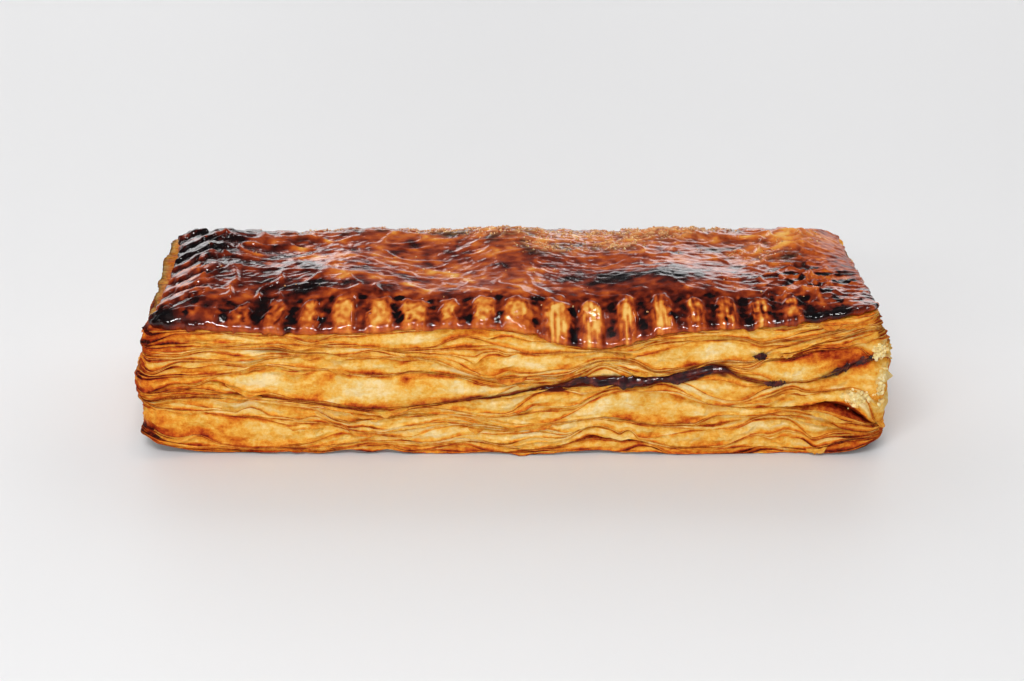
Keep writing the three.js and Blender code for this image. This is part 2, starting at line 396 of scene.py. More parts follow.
@dataclass(frozen=True)
class BakedLeaf(Finish):
    """Baked puff-pastry dough: dry, buttery leaves, cream inside and browned on every exposed edge.

    To the eye it is matt and dry, with a crumb of butter blisters and fine fibres along the leaves.
    """

    name: str = "baked_puff_dough"
    blotch_mm: float = 1.7  # clouds of browning
    blister_mm: float = 1.0  # butter blisters on a leaf's face
    fibre_mm: float = 0.44  # too fine to see singly
    lying: tuple[float, float, float] = (0.55, 0.55, 1.3)  # draws blotches and fibres out along the leaf
    bump_mm: float = 0.4
    soaked: str = "561b12"  # where burnt glaze has soaked in
    stops: Table = (
        (0.0, "f2d8a0"), (0.16, "edc675"), (0.32, "e9af48"), (0.47, "e08e2a"), (0.62, "c9611c"),
        (0.78, "a03512"), (0.9, "721c0c"), (1.0, "35100a"),
    )

    def inputs(self, tree: Tree) -> dict[str, object]:
        """Mottled browning, darkened and made shiny where burnt glaze has soaked in.

        Args:
            tree: The material's node tree.

        Returns:
            The shader's inputs, as values or sockets by name.
        """
        brown = add_node(tree, "Attribute", out="Fac", attribute_name="brown")
        stain = add_node(tree, "Attribute", out="Fac", attribute_name="stain")
        place = add_node(tree, "TexCoord", out="Object")
        lying = add_node(tree, "Mapping", {"Vector": place, "Scale": self.lying}, vector_type="POINT")
        blotch = self.noise(tree, lying, self.blotch_mm, 5.0, 0.68)
        blister = self.noise(tree, place, self.blister_mm, 4.0, 0.65)
        fibre = self.noise(tree, lying, self.fibre_mm, 2.0)
        browned = self.swung(tree, blister, 0.62, self.swung(tree, blotch, 0.7, brown))
        browned.node.use_clamp = True
        dough = colour_ramp(tree, browned, self.stops)
        mix = {0: stain, MIX_FIRST: dough, MIX_SECOND: linear_colour(self.soaked)}
        relief = add_node(tree, "Math", {0: fibre, 1: 0.45, 2: blister}, operation="MULTIPLY_ADD")
        return {
            "Base Color": add_node(tree, "Mix", mix, MIX_RESULT, data_type="RGBA"),
            "Roughness": add_node(tree, "MapRange", {"Value": stain, "To Min": 0.62, "To Max": 0.2}),
            "IOR": 1.45,
            "Specular IOR Level": 0.05,
            "Subsurface Weight": 0.4,
            "Subsurface Radius": (1.0, 1.0, 1.0),
            "Subsurface Scale": 0.4 * MM,
            "Normal": add_node(tree, "Bump", {"Height": relief, "Distance": self.bump_mm * MM}),
        }


@dataclass(frozen=True)
class GlazedCrust(Finish):
    """Egg-washed, sugar-glazed crust: caramel that runs from golden to burnt black under a hard gloss.

    To the eye it is wet-looking, with small sharp lights on every wrinkle.
    """

    name: str = "sugar_glazed_crust"
    mottle_mm: float = 2.4
    wrinkle_mm: float = 1.8
    bubble_mm: float = 0.7
    wrinkles: tuple[float, float, float] = (0.6, 1.3, 1.0)  # draws the wrinkles out
    slant: float = 0.25  # radians that they are turned by
    bump_mm: float = 0.07
    sugar: str = "e2b078"
    stops: Table = (
        (0.0, "ecbc68"), (0.14, "e09a42"), (0.28, "cc6c26"), (0.42, "aa481a"), (0.56, "7c2a13"),
        (0.7, "47130c"), (0.84, "1f0b0a"), (1.0, "0c0a0c"),
    )

    def inputs(self, tree: Tree) -> dict[str, object]:
        """Mottled caramel under a coat of glaze, dulled and paled by sugar dust.

        Args:
            tree: The material's node tree.

        Returns:
            The shader's inputs, as values or sockets by name.
        """
        bake, dust, gloss = (
            add_node(tree, "Attribute", out="Fac", attribute_name=name) for name in ("bake", "dust", "gloss")
        )
        place = add_node(tree, "TexCoord", out="Object")
        baked = self.swung(tree, self.noise(tree, place, self.mottle_mm, 6.0, 0.65), 0.55, bake)
        baked.node.use_clamp = True
        caramel = colour_ramp(tree, baked, self.stops)
        mix = {0: dust, MIX_FIRST: caramel, MIX_SECOND: linear_colour(self.sugar)}
        turned = {"Vector": place, "Scale": self.wrinkles, "Rotation": (0.0, 0.0, self.slant)}
        wrinkle = self.noise(tree, add_node(tree, "Mapping", turned), self.wrinkle_mm, 3.0)
        bubble = self.noise(tree, place, self.bubble_mm, 2.0)
        relief = add_node(tree, "Math", {0: bubble, 1: 0.27, 2: wrinkle}, operation="MULTIPLY_ADD")
        bump = add_node(tree, "Bump", {"Height": relief, "Distance": self.bump_mm * MM})
        return {
            "Base Color": add_node(tree, "Mix", mix, MIX_RESULT, data_type="RGBA"),
            "Roughness": add_node(tree, "MapRange", {"Value": dust, "To Min": 0.45, "To Max": 0.7}),
            "IOR": 1.45,
            "Specular IOR Level": 0.05,
            "Coat Weight": add_node(tree, "Math", {0: gloss, 1: 0.85}, operation="MULTIPLY"),
            "Coat Roughness": 0.07,
            "Coat IOR": 1.5,
            "Normal": bump,
            "Coat Normal": bump,
        }


@dataclass(frozen=True)
class BurntGlaze(Finish):
    """Glaze that ran out of the crust and burnt: near-black caramel, red-brown where it is thin.

    To the eye it is sticky and half shiny, with small lumps.
    """

    name: str = "burnt_caramel"
    lump_mm: float = 1.4
    bump_mm: float = 0.1
    stops: Table = ((0.32, "190a0d"), (0.48, "2e0f14"), (0.6, "4c1a19"), (0.74, "7e3424"))

    def inputs(self, tree: Tree) -> dict[str, object]:
        """Lumps that set both the colour and the relief.

        Args:
            tree: The material's node tree.

        Returns:
            The shader's inputs, as values or sockets by name.
        """
        lump = self.noise(tree, add_node(tree, "TexCoord", out="Object"), self.lump_mm, 3.0)
        height = {"Height": lump, "Distance": self.bump_mm * MM, "Strength": 0.8}
        bump = add_node(tree, "Bump", height)
        return {
            "Base Color": colour_ramp(tree, lump, self.stops),
            "Roughness": 0.4,
            "IOR": 1.5,
            "Specular IOR Level": 0.1,
            "Coat Weight": 0.45,
            "Coat Roughness": 0.16,
            "Normal": bump,
            "Coat Normal": bump,
        }


@dataclass(frozen=True)
class Grain(Finish):
    """Small dry grains: baked sugar or dough crumbs, matt and slightly translucent, each its own tone."""

    name: str
    stops: Table
    roughness: float
    grit_mm: float = 0.4
    bump_mm: float = 0.08

    def inputs(self, tree: Tree) -> dict[str, object]:
        """Each grain's own tone, over grit.

        Args:
            tree: The material's node tree.

        Returns:
            The shader's inputs, as values or sockets by name.
        """
        tone = add_node(tree, "Attribute", out="Fac", attribute_name="tone")
        grit = self.noise(tree, add_node(tree, "TexCoord", out="Object"), self.grit_mm, 2.0)
        height = {"Height": grit, "Distance": self.bump_mm * MM, "Strength": 0.7}
        return {
            "Base Color": colour_ramp(tree, tone, self.stops),
            "Roughness": self.roughness,
            "IOR": 1.5,
            "Subsurface Weight": 0.25,
            "Subsurface Radius": (1.0, 0.7, 0.4),
            "Subsurface Scale": 0.4 * MM,
            "Normal": add_node(tree, "Bump", height),
        }


@dataclass(frozen=True)
class Board(Finish):
    """Matt white board: a pale floor without texture, so that only the pastry draws the eye."""

    name: str = "matt_white_board"
    colour: str = "e5e5e6"

    def inputs(self, tree: Tree) -> dict[str, object]:
        """Plain colour and roughness."""
        return {"Base Color": linear_colour(self.colour), "Roughness": 0.6}


# ---------------------------------------------------------------------------------------------- the leaves

BASE_RIM = rim_curve(
    (0, 3.6), (0.5, 2.3), (1.1, 1.2), (1.6, 0.5), (2.2, 0.3), (3.6, 0.3), (4.2, 0.6), (5, 0.3), (5.9, 1.1),
    (6.5, 0.5), (7, 1.1), (7.6, 0.3), (9, 0.2), (9.8, 0.5), (11, 0.2), (12.3, 0.7), (13.1, 0.8),
    (13.7, 0.4), (14.4, 0.7), (15, 0.2), (18.7, 0.2), (19.5, 0.5), (20.3, 1.4), (20.8, 2.7), (21.4, 3.2),
    (25, 0.6), (29, 1.4), (34, 0.3), (40, 0.4), (46, 0.3), (50, 1.5), (54, 0.6),
)
FOOT_LINE = rim_curve(
    (0, 4.0), (0.7, 2.5), (1.4, 1.7), (2.7, 1.4), (4, 1.5), (5.2, 1.7), (6, 2.7), (6.6, 2.9), (7.5, 2.2),
    (8, 1.8), (9, 2.3), (9.6, 2.4), (10.4, 1.4), (11, 1.2), (11.7, 1.9), (12.4, 3.1), (12.8, 3.6),
    (13.3, 3.3), (13.6, 2.8), (14, 2.9), (14.5, 2.3), (15.1, 1.5), (16.2, 1.3), (17.5, 1.7), (18.7, 1),
    (19.2, 1.4), (19.8, 3), (20.3, 3.7), (21, 4.3), (25, 3.2), (29, 3.8), (33, 2.2), (38, 3), (43, 2),
    (47, 2.8), (50, 4), (54, 2.6),
)
MID_LINE = rim_curve(
    (0, 10.9), (0.5, 10.2), (1.2, 9.7), (2, 9.4), (2.9, 8.8), (3.7, 7.8), (4.8, 7.2), (5.6, 6.6),
    (6.1, 5.2), (6.9, 4.9), (7.9, 5.8), (8.7, 6.8), (9.6, 6.3), (10.4, 5.6), (11.2, 6.3), (12.1, 7.1),
    (12.9, 8), (13.6, 7.4), (14.2, 6.5), (15.5, 6.3), (16.2, 6.3), (17, 7.5), (17.4, 8.6), (18.2, 8.8),
    (18.9, 7.8), (19.4, 6.9), (19.8, 5.4), (20.4, 4.9), (21, 5.3), (24, 8.5), (27, 6.2), (29, 7),
    (33, 8.6), (37, 6.4), (41, 8.2), (45, 7.4), (48, 5.8), (50, 7.2), (53, 8.4), (56, 10.4),
)
BRANCH_LINE = rim_curve(
    (0, 12), (1, 12.5), (2, 12.6), (3, 12.3), (4, 11.4), (5, 10.6), (5.5, 9.8), (6, 9.2), (6.5, 8.5),
    (7, 8.2), (7.5, 8.4), (8.3, 8.9), (9.2, 8.8), (9.7, 8.4), (10.5, 8.6), (11.1, 9.3), (12.2, 10.4),
    (12.7, 12.6), (13.4, 14.4), (14.6, 13.9), (15.1, 13.1), (15.5, 11.9), (16, 11), (17, 10.7), (18, 10.6),
    (18.7, 10), (19.2, 10.4), (19.7, 9.7), (20.2, 8), (20.7, 6.5), (21.3, 6.4), (24, 11), (27, 9.6),
    (29, 10.4), (33, 11.8), (37, 9.4), (41, 11.6), (45, 10.2), (48, 9), (50, 10.2), (53, 11.4), (56, 12),
)
SEAM = rim_curve(
    (0, 13.2), (1.1, 14.2), (2.3, 13.7), (3.4, 13.3), (4.2, 12.4), (5, 11.6), (5.9, 10.6), (6.7, 10.1),
    (7.6, 11), (8.7, 11.9), (9.7, 12.9), (10.4, 13.3), (11.2, 14.5), (12, 15.4), (12.5, 16.5),
    (13.3, 16.3), (14, 16.2), (14.6, 17), (15, 16.9), (15.6, 18.2), (16.4, 19), (16.9, 17.3), (17.7, 16),
    (18.3, 16.3), (19, 16.8), (19.6, 18.2), (20.2, 20.6), (20.8, 21.6), (22, 19.8), (25, 18), (30, 16),
    (35, 13.5), (40, 16.5), (45, 14), (49.5, 15.5), (54, 14.5),
)
POCKET_TOP = rim_curve(
    (0, 16.8), (1, 17.4), (2.2, 17.8), (3, 18.6), (3.4, 19.6), (4, 19.5), (4.4, 18.8), (5.5, 18.8),
    (6.1, 17.9), (7.1, 17.8), (7.7, 18.4), (8.5, 17.9), (9.3, 16.9), (10.2, 15.8), (10.8, 16),
    (11.8, 16.5), (12.4, 18), (13, 19.8), (13.5, 18.8), (14, 17.7), (14.6, 17.9), (15.3, 18.7), (16, 19.9),
    (16.6, 19.7), (17.1, 19), (17.6, 20.8), (18.2, 21.3), (18.6, 22.3), (19.2, 23.1), (19.7, 23.7),
    (20.3, 25.2), (21, 25.4), (23, 23.2), (25, 20.5), (29, 20.4), (33, 19.2), (36, 17.4), (40, 19.6),
    (44, 18.4), (48, 17.8), (52, 18.6), (55, 17.2),
)
SHELF_LINE = rim_curve(
    (0, 20.4), (1, 20.9), (2, 20.8), (3, 20.7), (3.8, 21.5), (5, 22), (5.8, 21.5), (7, 21.7), (7.7, 21.7),
    (8.4, 20.5), (9, 18.8), (9.5, 17.6), (10, 17), (10.8, 17.4), (12, 17.8), (12.5, 19.6), (13, 20.8),
    (13.9, 20.4), (14.5, 18.6), (15.3, 19.2), (16, 20.4), (16.6, 20.5), (17.2, 20.6), (17.7, 21.9),
    (18.3, 22.6), (19, 24.4), (19.6, 25.2), (20.3, 26.8), (21, 27), (23, 25.4), (26, 23), (29, 22.8),
    (33, 21.6), (38, 22.4), (43, 20.6), (48, 21.8), (52, 20.6), (55, 20.8),
)
FAN_TOP = rim_curve(
    (0, 23.4), (1.8, 23.6), (3, 24), (4, 24.3), (5.1, 23.8), (6.4, 23.7), (7.4, 22.9), (8.2, 23.2),
    (9, 23.5), (10, 23.9), (10.5, 23.2), (11.2, 22.2), (12, 22.6), (13, 22.8), (13.9, 23), (14.3, 24.3),
    (15, 25.2), (16, 25.8), (16.9, 25.4), (17.4, 24.4), (17.9, 24.9), (18.6, 26), (19.4, 27), (20.2, 28.2),
    (21, 28.4), (24, 26.4), (29, 25.4), (34, 23.6), (38, 25), (42, 23.4), (46, 24.4), (50, 23.8),
    (54, 23.6),
)
CRUST_EDGE = rim_curve(
    (0, 26.6), (2, 27), (2.9, 26.5), (6, 26.5), (7.5, 27.2), (8.9, 27.5), (10.4, 27.2), (11.1, 26.2),
    (12, 24.1), (13, 23.4), (13.7, 24.2), (14.6, 26), (15.5, 27), (17.2, 27.4), (18.3, 28.2), (19.3, 29.4),
    (20.6, 30.6), (21, 30.4), (25, 28.8), (30, 28.2), (35, 26.8), (40, 27.8), (45, 26.4), (49.5, 27.4),
    (54, 27.2),
)
CRUST_INSET = rim_curve(
    (0, 2.6), (2, 0.9), (10, 0.5), (13, 0.1), (17, 0.7), (19.8, 0.5), (21, 2.2), (23, 3.3), (25, 3.6),
    (27, 4.3), (29, 4.5), (31, 1.6), (35, 0.6), (42, 1), (48, 0.6), (50, 2.5), (52, 3.9), (54, 4.2),
    (56.5, 3.7),
)
# How far the uppermost leaf's ledge stands inside the block, where it shows from above.
LEDGE = rim_curve(
    (0, 2.9), (2, 1.3), (10, 0.9), (13, 0.5), (17, 1), (19.8, 0.9), (21, 2.2), (23, 3), (25, 3.2),
    (27, 3.9), (29, 4.2), (31, 1.8), (35, 1), (42, 1.4), (48, 1), (50, 1.2), (52, 0.6), (54, 1.2), (56, 2),
    (57.2, 2.6),
)


@dataclass(frozen=True)
class Band:
    """Leaves that lie between two of the wall's main lines.

    A pocket is (station, half-length in stations, leaf, share): steam has puffed that leaf up there. A gape
    is (station, half-length, leaf, half-gap mm, depth mm): the crevice under that leaf stands open there.
    """

    name: str
    leaves: int
    pockets: Table
    gapes: Table = ()
    browner: float = 0.0


@dataclass
class FlakyWall:
    """The sides: some forty leaves of dough, thin ragged lips between broad torn faces."""

    columns: int = 22 * BLOCK.marks
    lines: tuple[ClosedCurve, ...] = (
        BASE_RIM, FOOT_LINE, MID_LINE, BRANCH_LINE, SEAM, POCKET_TOP, SHELF_LINE, FAN_TOP, CRUST_EDGE,
    )
    bands: tuple[Band, ...] = (
        Band(
            "leaves_foot", 3, ((3.5, 3, 1, 3), (12.9, 1.4, 1, 4), (17.5, 2, 1, 3)),
            ((11.7, 0.3, 2, 0.2, 1),), 0.12,
        ),
        Band(
            "leaves_lower", 6,
            (
                (2.4, 4.4, 3, 60), (6.9, 1, 4, 3), (8.6, 1.2, 3, 5), (10.4, 1.6, 2, 5), (12.2, 1.2, 4, 4),
                (14.2, 1.6, 4, 8), (16.6, 2.4, 3, 40), (19, 1, 4, 10), (19.6, 1.2, 1, 5),
            ),
            ((12.9, 0.9, 0, 0.4, 1.8), (13.8, 0.3, 0, 0.25, 1), (18.4, 0.7, 0, 0.15, 0.8)),
        ),
        Band(
            "leaves_lens", 6,
            (
                (2.5, 4.2, 2, 40), (7.3, 2.2, 2, 14), (8.9, 1, 1, 5), (10.6, 1.4, 3, 6), (11.9, 0.9, 4, 4),
                (14, 2.6, 3, 80), (17, 2.2, 3, 30), (19.8, 1.6, 0, 12), (19.8, 1.3, 5, 14),
            ),
            (
                (16.5, 0.9, 0, 0.2, 1.2), (3.2, 0.5, 0, 0.12, 0.8), (5, 0.5, 0, 0.1, 0.8),
                (18.4, 0.8, 0, 0.15, 0.8),
            ),
        ),
        Band(
            "leaves_under_seam", 6,
            (
                (2.6, 2.2, 2, 3), (6.7, 2, 1, 12), (9.4, 1.6, 3, 10), (11.4, 1.2, 2, 12), (13.6, 1.5, 4, 2),
                (15.9, 1.4, 2, 8), (16.6, 0.7, 5, 4), (20.3, 1.8, 3, 60),
            ),
            ((7.9, 0.75, 0, 0.28, 1.2), (18.8, 1.1, 0, 1.0, 2.6), (19.9, 1.2, 0, 2.2, 3.2)),
        ),
        Band(
            "leaves_pocket", 5,
            ((6.6, 4.6, 2, 90), (2.3, 0.9, 1, 3), (13, 0.7, 2, 6), (15.6, 1.6, 3, 3), (18.6, 1.9, 2, 40)),
            ((2.45, 0.75, 2, 0.4, 1.6),), -0.05,
        ),
        Band(
            "leaves_shelf", 5,
            (
                (6.2, 3.4, 2, 60), (2, 1.6, 1, 4), (10.8, 1, 3, 2), (13.4, 0.8, 2, 3), (17.8, 1.6, 2, 8),
                (19.8, 1, 3, 4),
            ),
            ((18.05, 0.7, 0, 0.9, 2.2), (18.9, 0.5, 0, 0.4, 1.5)),
        ),
        Band(
            "leaves_fan", 7,
            (
                (3, 2, 2, 6), (5.6, 1.4, 4, 2), (10, 0.55, 3, 12), (11.5, 1.3, 3, 60), (13.3, 1.1, 3, 14),
                (15.6, 2, 4, 90), (18.6, 1.4, 2, 6), (20, 1, 4, 5),
            ),
            ((13.7, 0.4, 5, 0.15, 0.8),),
        ),
        Band(
            "leaves_under_crust", 5,
            (
                (2, 1.4, 1, 4), (8.2, 3.4, 2, 50), (12, 1, 1, 3), (15.4, 1.4, 2, 4), (18.4, 1.2, 2, 12),
                (20, 1, 1, 5),
            ),
            ((9.2, 0.9, 0, 0.1, 0.6),), 0.06,
        ),
    )
    rear_pockets: int = 6  # drawn for each band over the ends and the back
    rear_gapes: int = 2
    unevenness: float = 1.15
    waviness: float = 0.08
    flare: Table = ((0, 0.9), (7, -0.1), (13, 0.5), (17, 0.5), (21, 0.2), (27, 0.0))
    lip: float = 0.14  # thickness of a leaf's lips
    depth: float = 0.1  # of a common crevice
    root: float = 3.6  # how far inside the block each band is closed
    least_leaf: float = 0.05
    overlap: float = 0.02  # of one band's closing ring with the next band
    blotches: float = 0.045  # browning that varies along every leaf
    # Places baked darker or left paler, and a few dark spots of painted shade: (station, height,
    # half-lengths along and up, amount).
    heat_and_shade: Table = (
        (0, 24, 2.0, 6, 0.38), (0.2, 15.5, 2.8, 5, 0.46), (0.2, 6, 2.1, 7, 0.42), (2.4, 4.5, 3.6, 5, 0.12),
        (20.3, 6.5, 2, 3.4, 0.17), (20.4, 2.5, 2.6, 4, 0.17), (19.4, 21.5, 2.0, 4.2, 0.54),
        # The small dark spots at stations 4.6 to 9.6, heights 16 to 18.6, along the big puffed leaf's top
        # edge are partly baked blotches and partly painted shade under the overhanging leaf.
        (18.6, 26, 1.6, 2, 0.12), (20.6, 14, 1, 4.5, -0.14), (5.5, 18.1, 0.3, 0.9, 0.22),
        (6.6, 17.8, 0.35, 0.9, 0.25), (7.55, 17.5, 0.4, 1.3, 0.4), (9.6, 16, 0.5, 0.8, 0.22),
        (4.6, 18.6, 0.5, 0.7, 0.15), (29, 14, 2, 18, 0.1), (50, 14, 2, 18, 0.1), (25.4, 14, 4, 40, 0.13),
        (39.5, 14, 13, 40, 0.09), (54, 14, 4.4, 40, 0.17), (7.5, 15, 3, 3, -0.02),
        (14.2, 10, 1.8, 4, -0.04), (15.8, 7.4, 1.6, 1, 0.18), (11.5, 20, 1.2, 2, -0.03),
        (1.2, 26, 2, 1.4, 0.12), (9.5, 4.5, 6, 4.5, -0.12), (3.5, 11, 3, 2.5, -0.06),
        (10, 0.8, 9, 1.2, -0.08),
    )
    # Glaze soaked into the leaves: the same, with amounts from 0 to 1.
    glazed: Table = (
        (3.8, 22.9, 0.9, 0.8, 0.6), (5.1, 25.4, 0.9, 0.6, 0.4), (18.4, 25, 0.8, 0.5, 0.5),
        (19.6, 27.3, 0.7, 0.5, 0.5), (17.4, 22.2, 0.4, 0.8, 1), (1.6, 24.8, 0.8, 0.6, 0.35),
        (19.9, 5.2, 1.2, 0.7, 0.3),
    )
    seed: int = 11

    def __post_init__(self) -> None:
        """Works out where every leaf lies."""
        self.rng = np.random.default_rng(self.seed)
        self.station = np.arange(self.columns) * BLOCK.marks / self.columns
        self.spacing = BLOCK.perimeter / self.columns
        self.leaves = sum(band.leaves for band in self.bands)
        self.firsts = np.cumsum([0] + [band.leaves for band in self.bands])
        self.drawn = [self.drawn_for(band) for band in self.bands]
        self.levels = self.leaf_levels()
        self.depths, self.gaps = self.crevices()
        self.tips = self.lip_reach()
        beside = np.minimum(self.tips[0][1:], self.tips[1][:-1])
        self.floors = np.concatenate([self.tips[0][:1], beside, self.tips[1][-1:]]) - self.depths

    def rows(self, count: int, wavelength: float) -> Array:
        """Unlinked rows of ripples round the rim, one for each leaf or crevice."""
        return ripples(self.rng, (count, self.columns), (1.0, self.spacing), (0.0, wavelength))

    def bump(self, centre: float, half: float) -> Array:
        """Smooth bump of height 1 round a station."""
        apart = np.mod(self.station - centre + BLOCK.marks / 2, BLOCK.marks) - BLOCK.marks / 2
        return smooth(1 - np.abs(apart) / half, 0, 1)

    def patches(self, table: Table, height: Array) -> Array:
        """Sum of soft patches: each amount * bump along * (1 - smoothstep of the height away from it).

        Args:
            table: Rows of station, height, half-lengths along and up, and amount.
            height: Heights of the points in mm, one column for each station.

        Returns:
            The sum at each point.
        """
        total = np.zeros_like(height)
        for centre, level, half, up, amount in table:
            total += amount * self.bump(centre, half) * (1 - smooth(np.abs(height - level) / up, 0, 1))
        return total

    def drawn_for(self, band: Band) -> tuple[Table, Table]:
        """Draws the band's pockets and gapes over the ends and the back.

        Args:
            band: The band, with those of the front.

        Returns:
            All its pockets and all its gapes.
        """
        low, high = BLOCK.marks_long + 1.0, BLOCK.marks - 1.0
        draw = self.rng.uniform
        pockets = tuple(
            (draw(low, high), draw(1.4, 4.5), int(self.rng.integers(band.leaves)), gain)
            for gain in self.rng.uniform(8, 50, self.rear_pockets)
        )
        gapes = tuple(
            (draw(low, high), draw(0.3, 1.2), int(self.rng.integers(band.leaves)), gap, 4 * gap)
            for gap in self.rng.uniform(0.1, 0.45, self.rear_gapes)
        )
        return band.pockets + pockets, band.gapes + gapes

    def leaf_levels(self) -> Array:
        """Heights of the crevices between leaves: each band is shared out by uneven leaf thicknesses.

        A leaf's share is exp(unevenness * ripples) plus what its steam pockets add, and a gape makes room
        in the leaves on both sides; the whole stack then waves together a little, and each crevice stays
        above the one under it.

        Returns:
            One row for each crevice, from the base rim to the crust's edge.
        """
        levels = [self.lines[0](self.station)]
        for band, low, high, drawn in zip(self.bands, self.lines, self.lines[1:], self.drawn):
            share = np.exp(self.unevenness * (self.rows(band.leaves, 40) + 0.6 * self.rows(band.leaves, 18)))
            for centre, half, leaf, gain in drawn[0]:
                share[int(leaf)] += gain * self.bump(centre, half)
            for centre, half, leaf, _, _ in drawn[1]:
                room = 0.6 * share.max(axis=0) * self.bump(centre, half)
                share[int(leaf)] += room
                share[max(int(leaf) - 1, 0)] += room
            climb = np.cumsum(share / share.sum(axis=0), axis=0)
            bottom = low(self.station)
            levels.extend(bottom + np.maximum(high(self.station) - bottom, 0.2) * climb)
        stack = np.array(levels)
        linked = ripples(self.rng, stack.shape, (0.7, self.spacing), (4, 13))
        fine = ripples(self.rng, stack.shape, (0.7, self.spacing), (1.5, 3.4))
        stack[1:-1] += self.waviness * (linked + 0.3 * fine)[1:-1]
        for i in range(1, len(stack)):
            stack[i] = np.maximum(stack[i], stack[i - 1] + self.least_leaf)
        return stack

    def crevices(self) -> tuple[Array, Array]:
        """How deep each crevice cuts in and how wide it gapes.

        Returns:
            Depths and half-gaps, one row for each crevice.
        """
        count = self.leaves + 1
        opening = smooth(self.rows(count, 22) + 0.6 * self.rows(count, 7), 1.2, 2.8)
        depths = self.depth * (1 + 0.4 * self.rows(count, 8)) + 1.2 * opening
        thick = np.diff(self.levels, axis=0)
        slim = np.minimum(thick[1:], thick[:-1])
        depths[1:-1] *= 0.12 + 0.88 * smooth(slim, 0.15, 0.6)
        gaps = 0.01 + 0.16 * opening
        depths[self.firsts] += 0.13 * np.clip(0.6 + 0.7 * self.rows(len(self.firsts), 12), 0, 1.6)
        depths[self.firsts[4]] *= 1 - 0.55 * self.along_seam()
        for number, (_, gapes) in enumerate(self.drawn):
            for centre, half, leaf, gap, depth in gapes:
                row = self.firsts[number] + int(leaf)
                depths[row] += depth * self.bump(centre, half)
                gaps[row] += gap * self.bump(centre, half)
        return np.clip(depths, 0.04, 3.4), gaps

    def lip_reach(self) -> Array:
        """How far each leaf's lower and upper lip stand outside the nominal block.

        The stack's flare and its step in under the crust, plus slow, quick and ragged ripples for each lip,
        plus a few stretches where a lip stands right out as a flake.

        Returns:
            Array (2, leaves, columns).
        """
        height = 0.5 * (self.levels[:-1] + self.levels[1:])
        flare = np.interp(height, *np.array(self.flare).T)
        seam, edge = SEAM(self.station), CRUST_EDGE(self.station)
        above = np.clip((height - seam) / (edge - seam), 0, 1)
        power = 1.6 + 4.0 * self.bump(54, 5.5)
        stack = ripples(self.rng, height.shape, (0.7, self.spacing), (5, 26))
        reach = flare - 0.92 * CRUST_INSET(self.station) * above**power + 0.3 * stack
        free = 0.15 + 0.85 * smooth(np.diff(self.levels, axis=0), 0.2, 0.8)
        lips = []
        for _ in range(2):
            slow = self.rows(self.leaves, 24)
            quick = self.rows(self.leaves, 6)
            ragged = self.rows(self.leaves, 1.5)
            flake = smooth(self.rows(self.leaves, 15), 1.7, 2.8)
            uneven = 0.12 * slow + 0.06 * quick + 0.04 * ragged * (1 + flake)
            lips.append(reach + free * uneven + 0.6 * flake)
        return np.array(lips)

    def reach_at(self, station: Array, height: Array) -> Array:
        """How far the lips stand out at places on the wall.

        Args:
            station: The places' stations.
            height: Their heights in mm.

        Returns:
            The most that either lip of the nearest leaf stands out.
        """
        column = np.round(np.mod(station, BLOCK.marks) / BLOCK.marks * self.columns).astype(int)
        column %= self.columns
        middles = 0.5 * (self.levels[1:, column] + self.levels[:-1, column])
        return self.tips[:, np.argmin(np.abs(middles - height), axis=0), column].max(axis=0)

    def inside(self, crevice: int) -> Array:
        """Colour down a crevice, partly baked browning and partly painted shade: darker along the main
        lines, and darkest where it stands wide open and deep, which is painted shade.

        Args:
            crevice: Its number, from the bottom.

        Returns:
            Colour at each column: browning, with painted shade that deepens with depth.
        """
        depth = self.depths[crevice]
        # Both depth terms darken the crevice floor the deeper it cuts: painted shade.
        shallow = 0.6 + 0.1 * (crevice in self.firsts) + 0.05 * smooth(depth, 0.03, 0.14)
        return shallow + 0.08 * np.clip(depth - 0.3, 0, 1.8)

